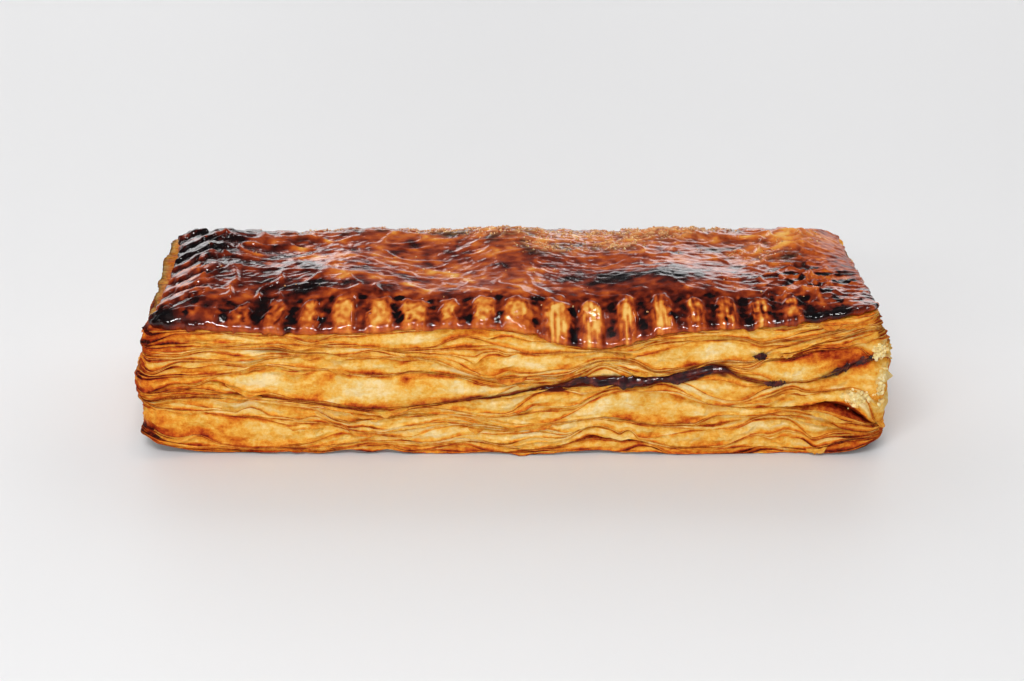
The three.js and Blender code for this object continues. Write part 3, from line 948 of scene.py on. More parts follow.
    def leaf_profile(self, leaf: int) -> Array:
        """Cross-section of one leaf at every column, from the crevice under it to its upper lip.

        A thin leaf is little more than its two lips. The thicker it is, the more its face between them
        lies back, puffs and is torn.

        Args:
            leaf: Its number, from the bottom.

        Returns:
            Array (3, points, columns) of offsets, heights and browning; the first point, down in the
            crevice, also carries painted shade.
        """
        under, over = self.levels[leaf], self.levels[leaf + 1]
        room = 0.48 * (over - under)
        bottom = under + np.minimum(self.gaps[leaf], room)
        top = over - np.minimum(self.gaps[leaf + 1], room)
        thick = top - bottom
        lip = np.minimum(self.lip, 0.3 * thick)
        low_tip, high_tip = self.tips[:, leaf]
        puffed = smooth(thick, 0.6, 3.5)
        face = np.minimum(low_tip, high_tip) - 0.08 - 0.22 * smooth(thick, 0.2, 1.0)
        torn = ripples(self.rng, (4, self.columns), (1.2, self.spacing), (2.5, 3.6)) * smooth(thick, 0.4, 2)
        fold = self.rows(1, 12)[0] * 0.3 * puffed
        proud = 0.015 + 0.085 * smooth(thick, 0.2, 0.8)
        droop = 0.25 * np.maximum(low_tip - high_tip, 0) * (thick > 0.3)
        tone = 0.26 + 0.07 * self.rows(1, 22)[0] - 0.04 * puffed
        edge = 0.49 + 0.03 * smooth(thick, 0.2, 0.8) + 0.12 * self.rows(2, 9)
        section = (
            # This first point lies down in the crevice; its colour includes painted shade.
            (self.floors[leaf], under, self.inside(leaf)),
            (low_tip - proud, bottom, edge[0] + 0.06),
            (low_tip, bottom + 0.4 * lip - droop, edge[0] - 0.02),
            (low_tip - proud, bottom + lip - 0.5 * droop, edge[0] - 0.08),
            (face + 0.22 * puffed + 0.12 * torn[0], bottom + 0.22 * thick, 0.35 * edge[0] + 0.65 * tone),
            (face + (0.5 + fold) * puffed + 0.16 * torn[1], bottom + 0.42 * thick, tone - 0.03),
            (face + (0.5 - fold) * puffed + 0.16 * torn[2], bottom + 0.62 * thick, tone),
            (face + 0.12 * puffed + 0.12 * torn[3], bottom + 0.84 * thick, tone + 0.08 + 0.06 * torn[0]),
            (high_tip, top - 0.3 * lip, edge[1] + 0.04),
        )
        profile = np.array(section).transpose(1, 0, 2)
        profile[2] += self.blotches * ripples(self.rng, profile.shape[1:], (0.8, self.spacing), (2.5, 6))
        return profile

    def along_seam(self) -> Array:
        """1 where the seam is glazed and browned along the front, 0 elsewhere."""
        return smooth(self.station, 0.6, 3) * (1 - smooth(self.station, 17.5, 19))

    def stain(self, height: Array) -> Array:
        """How far burnt glaze has soaked in: thinly all along the seam, and darkly where it ran out.

        Args:
            height: Heights of the points in mm, one column for each station.

        Returns:
            Stain from 0 to 1.
        """
        away = np.abs(height - SEAM(self.station))
        uneven = np.clip(0.6 + 0.4 * self.rows(1, 6)[0], 0, 1)
        wet = smooth(self.station, 7, 10.5)
        line = (0.3 + 0.35 * wet) * (1 - smooth(away, 0.1 + 0.2 * wet, 0.5 + 0.4 * wet)) * self.along_seam()
        along = smooth(self.station, 9.8, 12.2) * (1 - smooth(self.station, 16.3, 16.7))
        reach = 0.3 + (0.55 + 0.4 * uneven) * smooth(self.station, 10.5, 13)
        run = (0.75 + 0.35 * uneven) * along * (1 - smooth(away, 0.9 * reach, 1.45 * reach))
        strip = 1.2 * self.bump(19.9, 1.2) * (1 - smooth(away, 0.3, 1.3))
        return np.clip(line + run + strip + self.patches(self.glazed, height), 0, 1)

    def browned(self, heights: Array, browning: Array) -> Array:
        """A band's browning from the oven, at the foot and along the glazed seam; its patches and the
        crevices' colour include painted shade.

        Args:
            heights: Heights of the points in mm, one column for each station.
            browning: Each leaf's own browning.

        Returns:
            Browning from 0 to 1.
        """
        beside_run = smooth(self.station, 9.5, 12) * (1 - smooth(self.station, 16.3, 17.3))
        away = np.abs(heights - SEAM(self.station))
        seam = 0.28 * self.along_seam() * (1 - smooth(away, 0.1, 0.8 + 1.5 * beside_run))
        foot = 0.2 * (1 - smooth(heights, 0.3, 2.2))
        return np.clip(browning + self.patches(self.heat_and_shade, heights) + foot + seam, 0, 1)

    def build_band(self, number: int, finish: bpy.types.Material) -> bpy.types.Object:
        """Makes one band of leaves as a closed slab.

        The rings of its leaves run up the wall; at both ends one more ring and a polygon close it inside.

        Args:
            number: The band's place, from the bottom.
            finish: Its material.

        Returns:
            The new object.
        """
        band = self.bands[number]
        first = self.firsts[number]
        last = first + band.leaves
        leaves = [self.leaf_profile(leaf) for leaf in range(first, last)]
        if last < self.leaves:
            # The closing ring takes the crevice floor's colour, painted shade included.
            closing, tone = self.floors[last], self.inside(last)
        else:
            closing = 0.25 * self.rows(1, 8)[0] + 0.06 * self.rows(1, 1.6)[0] - LEDGE(self.station)
            tone = np.full(self.columns, 0.45)
        top = np.array([closing, self.levels[last] - self.overlap, tone])
        stack = np.concatenate(leaves + [top[:, None]], axis=1)
        root = np.full(self.columns, -self.root)
        foot = stack[1, 0] + self.overlap if number else np.zeros(self.columns)
        below = np.array([root, foot, np.full(self.columns, 0.8)])
        above = np.array([root, top[1] - self.overlap, tone])
        offsets, heights, browning = np.concatenate([below[:, None], stack, above[:, None]], axis=1)
        x, y = BLOCK.outline(self.station, offsets)
        vertices = np.stack([x, y, heights], -1).reshape(-1, 3)
        polygons = tube(len(offsets), self.columns)
        # The brown attribute carries the leaves' browning and, down the crevices, painted shade.
        brown = self.browned(heights, browning + band.browner)
        attributes = {"brown": brown, "stain": self.stain(heights)}
        return Piece(band.name, Slot.LEAVES, vertices, polygons, attributes).build(finish)

    def build(self, finish: bpy.types.Material) -> None:
        """Makes every band."""
        for number in range(len(self.bands)):
            self.build_band(number, finish)


# ---------------------------------------------------------------------------------------------- the crust


@dataclass(frozen=True)
class Crimping:
    """How one side's fork marks differ from the front's, as factors."""

    bend: float = 1.0  # of how far ripples bend them
    half: float = 1.0  # of their lobes' half-width
    depth: float = 1.0  # of how far the lobes reach inwards
    inset: float = 1.0  # of the lobes' distance from the rim
    strength: float = 1.0  # of how plainly they show


@dataclass
class Crust:
    """The top crust: fork-crimped along its rim, raised and wrinkled in the middle, closed underneath."""

    columns: int = 500
    rows: int = 176
    plateau: float = 31.6
    lip: float = 1.5
    band: float = 10.5
    crimp_height: float = 0.24
    crimp_phase: float = 0.64
    lobe_half: float = 2.75  # mm, where two fork marks are 7.2 apart
    lobe_depth: float = 5.3
    lobe_inset: float = 3.0
    sides: tuple[Crimping, ...] = (
        Crimping(),  # front
        Crimping(2.4, 0.8, 1.6, 1.5, 0.3),  # right
        Crimping(strength=0.7),  # back
        Crimping(2.4, 0.8, 1.6, 1.5, 0.8),  # left
    )
    dot_depths: tuple[float, ...] = (7.2, 4.8, 2.4, 1.2)  # mm from the rim to each burnt dot
    dots_missing: float = 0.25
    # How far the marks stray from even spacing: stations, then shifts.
    crimp_drift: Table = ((0, 11, 12.8, 16, 17.6, 20.5, 22), (0, 0, 0.18, 0.13, 0, -0.3, 0))
    seed: int = 23
    # Burnt (above 0) and golden (below 0) areas of the glaze: (x, y, reach along x and y, amount).
    scorches: Table = (
        (-71.5, -25.2, 4.2, 3.4, 0.65), (-64.5, -26.5, 2.6, 1.2, 0.55), (-65, -23.5, 3, 1.4, -0.2),
        (-66, -19.5, 5, 1.5, 0.35), (-58, -22, 6, 3.5, 0.1), (-69, 9, 7, 6, 0.5), (-63, 21, 10, 5, 0.5),
        (-70, -10, 6, 14, 0.03), (-54, 0, 18, 14, 0.13), (-45, -14, 8, 3.5, 0.3), (-50, -22, 3, 4, 0.2),
        (26, -9, 14, 4, 0.42), (33, -15, 8, 5, 0.08), (36, -24, 7, 5, 0.05), (45, -23, 8, 4, 0.1),
        (65, -26.8, 6.5, 1.5, 0.7), (58, 3, 3, 2, 0.3), (-32, -14, 12, 2, 0.12), (-12, -7, 12, 6, -0.13),
        (-33, 3, 14, 5, -0.04), (6, 2, 8, 8, 0.06), (63, 14, 11, 8, -0.26), (65, 2, 7, 5, -0.12),
        (5, -24, 12, 5, -0.05), (-30, -24, 14, 5, -0.03), (22, 16, 20, 6, -0.08), (50, 12, 10, 8, -0.02),
    )
    # Where sugar lies thick: the same, with amounts from 0 to 1.
    sugared: Table = (
        (8, 7, 6, 2.5, 0.8), (22, 10, 5, 3, 0.9), (31, 17, 8, 4.5, 1), (40, 22, 9, 4, 1),
        (4, 17, 12, 5, 0.8), (-14, 20, 12, 4, 0.6), (-40, 21, 12, 4, 0.3), (52, 6, 9, 6, 0.25),
        (62, 14, 8, 5, 0.3), (20, 22, 9, 4, 0.6),
    )
    # Low swells of the middle: the same, with amounts in mm.
    swells: Table = (
        (-47, -9, 14, 7, 0.6), (-46, 9, 14, 7, -0.7), (-58, 18, 12, 6, 0.5), (24, -11, 20, 4.5, 0.3),
        (24, -1, 18, 5, -0.45), (50, -6, 12, 7, 0.35), (50, 13, 12, 6, -0.35), (0, 18, 16, 8, 0.5),
        (38, 21, 8, 6, 1.1), (20, 24, 6, 6, -0.7), (-30, 22, 6, 6, 0.3), (64, 18, 8, 8, 0.5),
        (50, 24, 5, 7, -0.4),
    )
    corner_lift: Table = ((-67, -24, 9, 2.6, 0.9),)  # the same, beside the left corner of the rim
    charred: Table = ((63, -11, 10, 9, 1),)  # the same, with amounts from 0 to 1, for chunky charred scales
    # Where the folds lie flatter: the same, with the share taken off.
    smoothed: Table = (
        (26, -8, 18, 6, 0.75), (-46, 0, 13, 8, 0.6), (54, -5, 10, 5, 0.4), (0, -6, 16, 7, 0.35),
    )
    # Rings from the top's border round the lip and in under it: how far out, share of the lip's height
    # above its foot, how ragged, share of the top's baking, gloss.
    lip_rings: Table = (
        (0.26, 0.92, 1, 0.95, 1), (0.46, 0.74, 1, 0.85, 0.8), (0.54, 0.5, 1, 0.7, 0.5),
        (0.46, 0.24, 1, 0.6, 0.3), (0.1, 0, 1, 0.5, 0.1), (-3.4, 0.12, 0, 0.5, 0),
    )
    border_step: float = 0.305  # mm between two points of the border
    crumb: float = 0.26  # baking of the dough under the glaze

    def __post_init__(self) -> None:
        """Works out the crust's surface."""
        self.rng = np.random.default_rng(self.seed)
        a, b = BLOCK.length / 2, BLOCK.width / 2
        self.spacing = (BLOCK.width / (self.rows - 1), BLOCK.length / (self.columns - 1))
        across, along = np.linspace(-1, 1, self.rows), np.linspace(-1, 1, self.columns)
        self.v, self.u = np.meshgrid(across, along, indexing="ij")
        ahead, beside = BLOCK.marks_long, BLOCK.marks_short
        self.stations = (
            (self.u + 1) / 2 * ahead,
            ahead + (self.v + 1) / 2 * beside,
            ahead + beside + (1 - self.u) / 2 * ahead,
            2 * ahead + beside + (1 - self.v) / 2 * beside,
        )
        front, right, back, left = (CRUST_INSET(s) for s in self.stations)
        x = -a + left + (2 * a - left - right) * (self.u + 1) / 2
        y = -b + front + (2 * b - front - back) * (self.v + 1) / 2
        (self.out_x, self.out_y), back = BLOCK.corners(a * self.u, b * self.v, a, b)
        self.x, self.y = x - back[0], y - back[1]
        self.from_rim = (b * (1 + self.v), a * (1 - self.u), b * (1 - self.v), a * (1 + self.u))
        self.inset = np.min(self.from_rim, axis=0)
        self.z, self.bake, self.dust = self.surface()

    def noise(self, across: float, along: float, angle: float = 0.0) -> Array:
        """Ripples over the crust with the given wavelengths across and along it."""
        return ripples(self.rng, self.u.shape, self.spacing, (across, along), angle)

    def patches(self, table: Table) -> Array:
        """Sum of soft patches: each amount * exp(-(distance / reach)^2).

        Args:
            table: Rows of x, y, reach along x and y, and amount.

        Returns:
            The sum at each grid point.
        """
        total = np.zeros_like(self.x)
        for cx, cy, rx, ry, amount in table:
            total += amount * np.exp(-(((self.x - cx) / rx) ** 2) - ((self.y - cy) / ry) ** 2)
        return total

    def lip_height(self) -> Array:
        """Height of the lip, carried inwards: a Coons patch over the crust edge's four sides.

        Returns:
            Height in mm at each grid point.
        """
        front, right, back, left = (CRUST_EDGE(s) + self.lip for s in self.stations)
        s, t = (self.u + 1) / 2, (self.v + 1) / 2
        sides = (1 - t) * front + t * back + (1 - s) * left + s * right
        corners = (
            (1 - s) * (1 - t) * front[0, 0] + s * (1 - t) * front[0, -1]
            + (1 - s) * t * back[-1, 0] + s * t * back[-1, -1]
        )
        return sides - corners

    def lobes(self) -> tuple[Array, Array, Array]:
        """The dough left between two fork marks: rounded rectangles along each side of the rim.

        A lobe is where ((along / half)^n + (across / depth)^n)^(1/n) is under 1, with both distances bent
        a little by ripples, and each lobe's own width; n falls from 3 at the left to 2, an oval, at the
        right. The back and the ends are marked more faintly.

        Returns:
            The lobes' raised cover and their softer paler tint, from 0 to 1, and how far a point belongs to
            the marked band.
        """
        pitch = BLOCK.length / BLOCK.marks_long
        bend_along, bend_across = 0.3 * self.noise(4, 4), 0.4 * self.noise(4, 4)
        own = self.rng.normal(0, 1, (3, BLOCK.marks + 2))
        cover, tint, band = (np.zeros_like(self.x) for _ in range(3))
        power = 3 - smooth(self.x, -2, 10)
        for side, station, inset in zip(self.sides, self.stations, self.from_rim):
            front = side is self.sides[0]
            place = station - np.interp(station, *self.crimp_drift) - self.crimp_phase
            number = np.round(place).astype(int) % BLOCK.marks
            along = (place - np.round(place)) * pitch + side.bend * bend_along + 0.3 * own[0, number]
            half = self.lobe_half * (1 + 0.13 * own[1, number]) * side.half
            depth = self.lobe_depth * (1 + 0.1 * own[2, number]) * side.depth
            depth *= 1 + 0.2 * smooth(self.x, 0, 8) * front
            across = inset - self.lobe_inset * side.inset + bend_across
            lobe = (np.abs(along / half) ** power + np.abs(across / depth) ** power) ** (1 / power)
            own_side = smooth(self.inset - inset, -1.6, -0.2)
            if front:
                own_side = own_side * smooth(self.x, -64, -56) * (1 - 0.6 * smooth(self.x, 57, 65))
            strength = own_side * side.strength
            cover = np.maximum(cover, (1 - smooth(lobe, 0.68, 1.06)) * strength)
            tint = np.maximum(tint, (1 - smooth(lobe, 0.4, 1.14)) * strength)
            band = np.maximum(band, (1 - smooth(across, 0.8 * depth, 1.25 * depth)) * own_side)
        return cover, tint, band

    def burnt_dots(self) -> Array:
        """Round black spots where glaze pooled in the fork marks: two or three in each.

        Returns:
            How black each grid point is, from 0 to 1.
        """
        rng = np.random.default_rng(self.seed + 1)
        dots = np.zeros_like(self.x)
        station, inset = self.stations[0][0], self.from_rim[0][:, 0]
        for mark in range(BLOCK.marks_long + 1):
            middle = mark - 0.5 + self.crimp_phase + np.interp(mark, *self.crimp_drift)
            for depth in self.dot_depths:
                if rng.uniform() < self.dots_missing:
                    continue
                at = middle + rng.normal(0, 0.07)
                reach = rng.uniform(0.1, 0.2), rng.uniform(0.7, 1.5)
                span = np.abs(station - at) < 4 * reach[0]
                apart = ((station[span] - at) / reach[0])[None, :] ** 2
                away = ((inset - depth + rng.normal(0, 0.5)) / reach[1])[:, None] ** 2
                dots[:, span] = np.maximum(dots[:, span], rng.uniform(0.6, 1.3) * np.exp(-apart - away))
        return smooth(dots + 0.16 * self.noise(1.5, 1.8), 0.22, 0.95)

    def folds(self) -> tuple[Array, Array, Array]:
        """Oblique folds: ridges along the zero lines of ripples, in two directions, crumpled at the right.

        Returns:
            Folds and fine folds, from 0 to 1, and the height in mm that they reach.
        """
        choose = smooth(self.noise(22, 30), -0.6, 0.6)
        one, two = self.noise(9, 17, 0.2), self.noise(10, 15, -0.3)
        folds = ridge(one, 0.36) * choose + ridge(two, 0.36) * (1 - choose)
        crumpled = smooth(self.x + 4 * self.noise(9, 9), 40, 54)
        folds += (ridge(self.noise(8, 9, 0.4), 0.42) - folds) * crumpled
        folds *= 1 - self.patches(self.smoothed)
        fine = ridge(self.noise(3, 6, 0.12), 0.4)
        return folds, fine, 0.18 + 0.42 * smooth(-self.x, 28, 45) + 0.42 * crumpled

    def ends(self) -> Array:
        """How strongly the ends are marked: the left one more than the right."""
        return smooth(np.abs(self.u), 0.82, 0.9) * np.where(self.u > 0, 0.3, 0.7)

    def relief(self, cover: Array, band: Array, folded: Array) -> Array:
        """Height of the crust's top.

        It rises from the lip to the plateau by 1 - (1 - inset / band)^1.7, with slow waves. Then come
        swells in the middle, a raised dome on each lobe with a dip between, folds, and small blisters.

        Args:
            cover: The lobes' raised cover.
            band: How far a point belongs to the marked band.
            folded: Height in mm of the folds.

        Returns:
            Heights in mm.
        """
        lip = self.lip_height()
        ease = np.clip(1 - self.inset / self.band, 0, 1)
        turn = 2 * math.pi
        slow = 0.6 * np.cos(turn * self.x / 33) + 0.4 * np.sin(turn * (self.y / 40 + self.x / 75))
        z = lip + (self.plateau + slow - lip) * (1 - ease**1.7)
        z += self.patches(self.swells) * self.middle
        faint = 1 - 0.8 * smooth(self.u, 0.84, 0.92) * smooth(self.v, -0.7, -0.4)
        marks = self.crimp_height * (1 + 1.2 * self.ends()) * faint
        z += marks * band * np.cos(math.pi * np.clip(1.25 - 1.25 * cover, 0, 1))
        z += folded
        z += 0.028 * self.noise(2.4, 3.2) + 0.01 * self.noise(0.9, 1.1)
        return z + self.patches(self.corner_lift)

    def baking(self, tint: Array, band: Array, rise: Array) -> Array:
        """How far the glaze is baked: darker between folds and in the fork marks, paler on the lobes.

        Args:
            tint: The lobes' paler tint.
            band: How far a point belongs to the marked band.
            rise: How far folds lighten the glaze, or the lack of them darkens it.

        Returns:
            Baking from 0, golden, to 1, burnt; it may run past both.
        """
        ribs = self.noise(8, 1.2) * smooth(self.x, -5, 12)
        bake = 0.48 + 0.09 * self.noise(9, 11) + 0.04 * self.noise(3, 6, 0.15) * self.middle
        bake += 0.05 * self.noise(3.5, 3.5)
        bake += rise
        groove = 0.65 + 0.07 * self.noise(2, 2)
        groove += smooth(-self.x, 54, 62) * (0.1 - 0.22 * smooth(self.y, -12, -18))
        dough = 0.2 + 0.13 * ribs + 0.08 * self.noise(2.0, 1.6)
        crease = ridge(tint - 0.8, 0.12) * smooth(self.noise(3, 3), -0.2, 0.6)
        front = smooth(self.y, -10, -20)
        left = 0.1 * smooth(-self.x, 33, 42) + 0.06 * smooth(-self.x, 44, 58)
        dough += 0.26 * crease + front * left
        dough += smooth(self.x, 38, 50) * (0.02 + 0.34 * smooth(self.noise(2.8, 2.4), 0.1, 1.2))
        marked = groove + (dough - groove) * tint
        bake += (marked - bake) * band * np.maximum(0.6 + 0.4 * front, 1.15 * self.ends())
        return bake + self.patches(self.scorches)

    def surface(self) -> tuple[Array, Array, Array]:
        """Height, baking and sugar dust of the crust's top at each grid point.

        Returns:
            Heights in mm, baking from 0, golden, to 1, burnt, and dust from 0 to 1.
        """
        cover, tint, band = self.lobes()
        self.middle = smooth(self.inset + 0.8 * self.noise(6, 8), 5.5, 10)
        folds, fine, ruffled = self.folds()
        share = 0.2 + 0.8 * self.middle
        fine_height = 0.06 + 0.1 * smooth(-self.x, 20, 40)
        z = self.relief(cover, band, share * ruffled * (folds + fine_height * fine))
        bake = self.baking(tint, band, (0.08 + 0.14 * ruffled) * (0.25 - folds) * share)
        charred = self.patches(self.charred)
        bake += charred * (0.85 * smooth(self.noise(4.4, 9, 0.3), 0.25, 0.8) - 0.16)
        z += 0.62 * charred * ridge(self.noise(4.4, 8, 0.3), 0.5)
        bake += (0.36 - bake) * 0.15 * (1 - smooth(self.inset, 0.2, 1.1))
        bake += (0.97 - bake) * self.burnt_dots()
        sugar = self.patches(self.sugared)
        lumps = smooth(self.noise(1.6, 1.9), -0.3, 1.4)
        z += 0.35 * np.clip(sugar, 0, 1) * lumps
        return z, np.clip(bake, 0, 1), np.clip(sugar * (0.15 + 0.7 * lumps), 0, 0.8)

    def nearest(self, u: Array, v: Array) -> tuple[Array, Array]:
        """Row and column of the grid point nearest to each pair of grid parameters from -1 to 1."""
        rows, columns = (v + 1) / 2 * (self.rows - 1), (u + 1) / 2 * (self.columns - 1)
        return np.round(rows).astype(int), np.round(columns).astype(int)

    def border(self) -> Array:
        """Indices of the grid's border, anticlockwise from the front-left corner."""
        index = np.arange(self.rows * self.columns).reshape(self.rows, self.columns)
        return np.concatenate([index[0, :-1], index[:-1, -1], index[-1, :0:-1], index[:0:-1, 0]])

    def build(self, finish: bpy.types.Material) -> bpy.types.Object:
        """Makes the crust as one closed piece: the top's grid, then lip rings down and under to a polygon.

        Args:
            finish: Its material.

        Returns:
            The new object.
        """
        top = np.stack([self.x, self.y, self.z], -1).reshape(-1, 3)
        border = self.border()
        count = len(border)
        out = np.stack([self.out_x, self.out_y], -1).reshape(-1, 2)[border]
        out /= np.linalg.norm(out, axis=1, keepdims=True)
        ragged = ripples(self.rng, (3, count), (1, self.border_step), (0, 5))
        fine = ripples(self.rng, (3, count), (1, self.border_step), (0, 1.6))
        foot = self.lip_height().reshape(-1)[border] - self.lip + 0.16 * ragged[0] + 0.06 * fine[0]
        proud = 0.2 * ragged[1] + 0.09 * fine[1]
        rise = top[border, 2] - foot
        dry = 0.65 * smooth(self.x, 54, 66) * smooth(self.y, -16, -8)
        shine = (1 - dry) * (1 - 0.7 * self.dust)
        values = [[self.bake.reshape(-1)], [self.dust.reshape(-1)], [shine.reshape(-1)]]
        lip_bake = values[0][0][border]
        grid = np.arange(top.shape[0]).reshape(self.rows, self.columns)
        faces = np.stack([grid[:-1, :-1], grid[:-1, 1:], grid[1:, 1:], grid[1:, :-1]], -1)
        polygons = [faces.reshape(-1, 4)]
        vertices, upper = [top], border
        for i, (offset, share, free, baked, gloss) in enumerate(self.lip_rings):
            xy = top[border, :2] + out * (offset + free * proud)[:, None]
            vertices.append(np.column_stack([xy, foot + share * rise]))
            lower = len(top) + i * count + np.arange(count)
            polygons.append(np.stack([lower, np.roll(lower, -1), np.roll(upper, -1), upper], -1))
            upper = lower
            ring = (lip_bake * baked + self.crumb * (1 - baked), 0 * lip_bake, gloss + 0 * lip_bake)
            for parts, part in zip(values, ring):
                parts.append(part)
        polygons.append(upper[::-1][None])
        bake, dust, gloss = (np.concatenate(v) for v in values)
        attributes = {"bake": np.clip(bake, 0, 1), "dust": dust, "gloss": gloss}
        return Piece("top_crust", Slot.CRUST, np.concatenate(vertices), polygons, attributes).build(finish)


# ---------------------------------------------------------------------------------------------- small things


@dataclass
class Flakes:
    """Loose leaf edges that have curled free of the sides: thin shards, rooted in a crevice."""

    wall: FlakyWall
    count: int = 150
    along: int = 22
    across: int = 6
    thickness: float = 0.1
    lengths: tuple[float, float] = (3, 13)
    widths: tuple[float, float] = (0.7, 1.7)
    root: float = 0.7  # how far its root lies inside the lip under it
    lifts: tuple[float, float] = (-0.1, 0.5)
    droops: tuple[float, float] = (0.1, 1.0)
    seed: int = 37

    def shard(self, rng: np.random.Generator) -> Pair:
        """One shard: a strip along a crevice whose free edge sags and ends in a ragged outline.

        With a from 0 to 1 along it and b from 0 at the root to 1 at the free edge, its reach is
        sin(pi a)^0.6 times its width, and it rises by lift * b - droop * b^2.

        Args:
            rng: Seeded generator.

        Returns:
            Vertices of its upper and lower face, and browning.
        """
        wall = self.wall
        leaf = int(rng.integers(2, wall.leaves))
        length = rng.uniform(*self.lengths) / (BLOCK.length / BLOCK.marks_long)
        start = rng.uniform(0, BLOCK.marks)
        width = rng.uniform(*self.widths)
        a, b = np.meshgrid(np.linspace(0, 1, self.along), np.linspace(0, 1, self.across), indexing="ij")
        station = start + length * a
        level, tip = (
            np.interp(np.mod(station, BLOCK.marks), wall.station, row, period=BLOCK.marks)
            for row in (wall.levels[leaf], wall.tips[0, leaf - 1])
        )
        ragged = np.interp(a[:, 0], np.linspace(0, 1, 9), rng.uniform(0.72, 1.15, 9))[:, None]
        reach = width * np.sin(math.pi * np.clip(a, 0.015, 0.985)) ** 0.6 * ragged
        offset = tip - self.root + (reach + self.root / 2) * b
        lift, droop = rng.uniform(*self.lifts), rng.uniform(*self.droops)
        wave = 0.12 * np.sin(2 * math.pi * (a * rng.uniform(0.8, 2.4) + rng.uniform()))
        height = level + (lift * b - droop * b * b) * reach + wave * b
        x, y = BLOCK.outline(station, offset)
        half = 0.5 * self.thickness * (1.1 - 0.6 * b)
        faces = np.array([np.stack([x, y, height + side * half], -1) for side in (-1, 1)])
        brown = np.clip(0.34 + 0.14 * b + rng.normal(0, 0.06) + 0 * a, 0, 1)
        return faces.reshape(-1, 3), np.concatenate([brown.reshape(-1)] * 2)

    def build(self, finish: bpy.types.Material) -> bpy.types.Object:
        """Makes all the shards as one piece, each a closed thin shell.

        Args:
            finish: Its material.

        Returns:
            The new object.
        """
        rng = np.random.default_rng(self.seed)
        made = [self.shard(rng) for _ in range(self.count)]
        cells = self.along * self.across
        grid = np.arange(cells).reshape(self.along, self.across)
        quads = np.stack([grid[:-1, :-1], grid[1:, :-1], grid[1:, 1:], grid[:-1, 1:]], -1).reshape(-1, 4)
        rim = np.concatenate([grid[:-1, 0], grid[-1, :-1], grid[:0:-1, -1], grid[0, :0:-1]])
        sides = np.stack([rim, np.roll(rim, -1), np.roll(rim, -1) + cells, rim + cells], -1)
        shell = np.concatenate([quads[:, ::-1], quads + cells, sides])
        faces = np.concatenate([shell + 2 * cells * i for i in range(self.count)])
        vertices = np.concatenate([m[0] for m in made])
        attributes = {"brown": np.concatenate([m[1] for m in made]), "stain": np.zeros(len(vertices))}
        return Piece("curled_flakes", Slot.LEAVES, vertices, [faces], attributes).build(finish)


@dataclass(frozen=True)
class Run:
    """One run of glaze: from and to stations, height above the seam, half-height and reach of its bead."""

    start: float
    end: float
    above: float
    half_height: float
    bead: float


@dataclass
class GlazeRuns:
    """Glaze that ran down into the seam and burnt there: beads that swell and pinch along it."""

    wall: FlakyWall
    runs: tuple[Run, ...] = (
        Run(11.4, 16.75, 0.1, 0.92, 0.22),
        Run(17.5, 18.2, 0.0, 0.7, 0.45),
        Run(19.0, 20.8, 0.0, 0.8, 0.55),
        Run(17.12, 17.62, 5.6, 0.85, 0.6),
    )
    along: int = 160
    around: int = 20
    evened: int = 19  # points along it over which its seat on the leaves is evened out
    seed: int = 41

    def bead(self, run: Run, rng: np.random.Generator) -> Array:
        """Vertices of one run: an ellipse carried along the seam, pinched to nothing at both ends.

        A drop less than two stations long is rounder, and swells, pinches and wanders less.

        Args:
            run: Its sizes.
            rng: Seeded generator.

        Returns:
            Array (along, around, 3).
        """

        def waves(count: float) -> Array:
            """Ripples along the run, about count of them."""
            return ripples(rng, (1, self.along), (1, 1), (0, self.along / count))[0][:, None]

        a = np.linspace(0, 1, self.along)[:, None]
        turn = np.linspace(0, 2 * math.pi, self.around, endpoint=False)[None, :]
        station = run.start + (run.end - run.start) * a
        long_run = min((run.end - run.start) / 2, 1.0)
        swell = 1 + 0.24 * long_run * waves(5)
        swell += 0.11 * waves(24)
        arch = np.sin(math.pi * np.clip(a, 0.004, 0.996))
        rounded = arch**0.75 + (np.clip(2.2 * arch, 0.02, 1) - arch**0.75) * long_run
        taper = rounded * (1 - 0.6 * long_run * (1 - smooth(a, 0, 0.4))) * np.clip(swell, 0.3, 2)
        middle = SEAM(station) + run.above + 0.15 * long_run * waves(7)
        height = middle + run.half_height * taper * np.sin(turn)
        seat = self.wall.reach_at(station[:, 0], middle[:, 0])[:, None]
        seat = seat + 0.6 * long_run * (self.wall.reach_at(station + 0 * turn, height) - seat)
        window = np.hanning(self.evened) / np.hanning(self.evened).sum()
        padded = np.pad(seat, ((self.evened // 2,) * 2, (0, 0)), mode="edge")
        seat = np.apply_along_axis(np.convolve, 0, padded, window, mode="valid")
        squared = np.sign(np.cos(turn)) * np.abs(np.cos(turn)) ** 0.6
        x, y = BLOCK.outline(station + 0 * turn, seat + run.bead * taper * (squared - 0.25))
        return np.stack([x, y, height], -1)

    def build(self, finish: bpy.types.Material) -> bpy.types.Object:
        """Makes all the runs as one piece.

        Args:
            finish: Its material.

        Returns:
            The new object.
        """
        rng = np.random.default_rng(self.seed)
        vertices = np.concatenate([self.bead(run, rng).reshape(-1, 3) for run in self.runs])
        faces = tube(self.along, self.around)
        size = self.along * self.around
        polygons = [part[:, ::-1] + i * size for i in range(len(self.runs)) for part in faces]
        return Piece("glaze_runs", Slot.CARAMEL, vertices, polygons).build(finish)


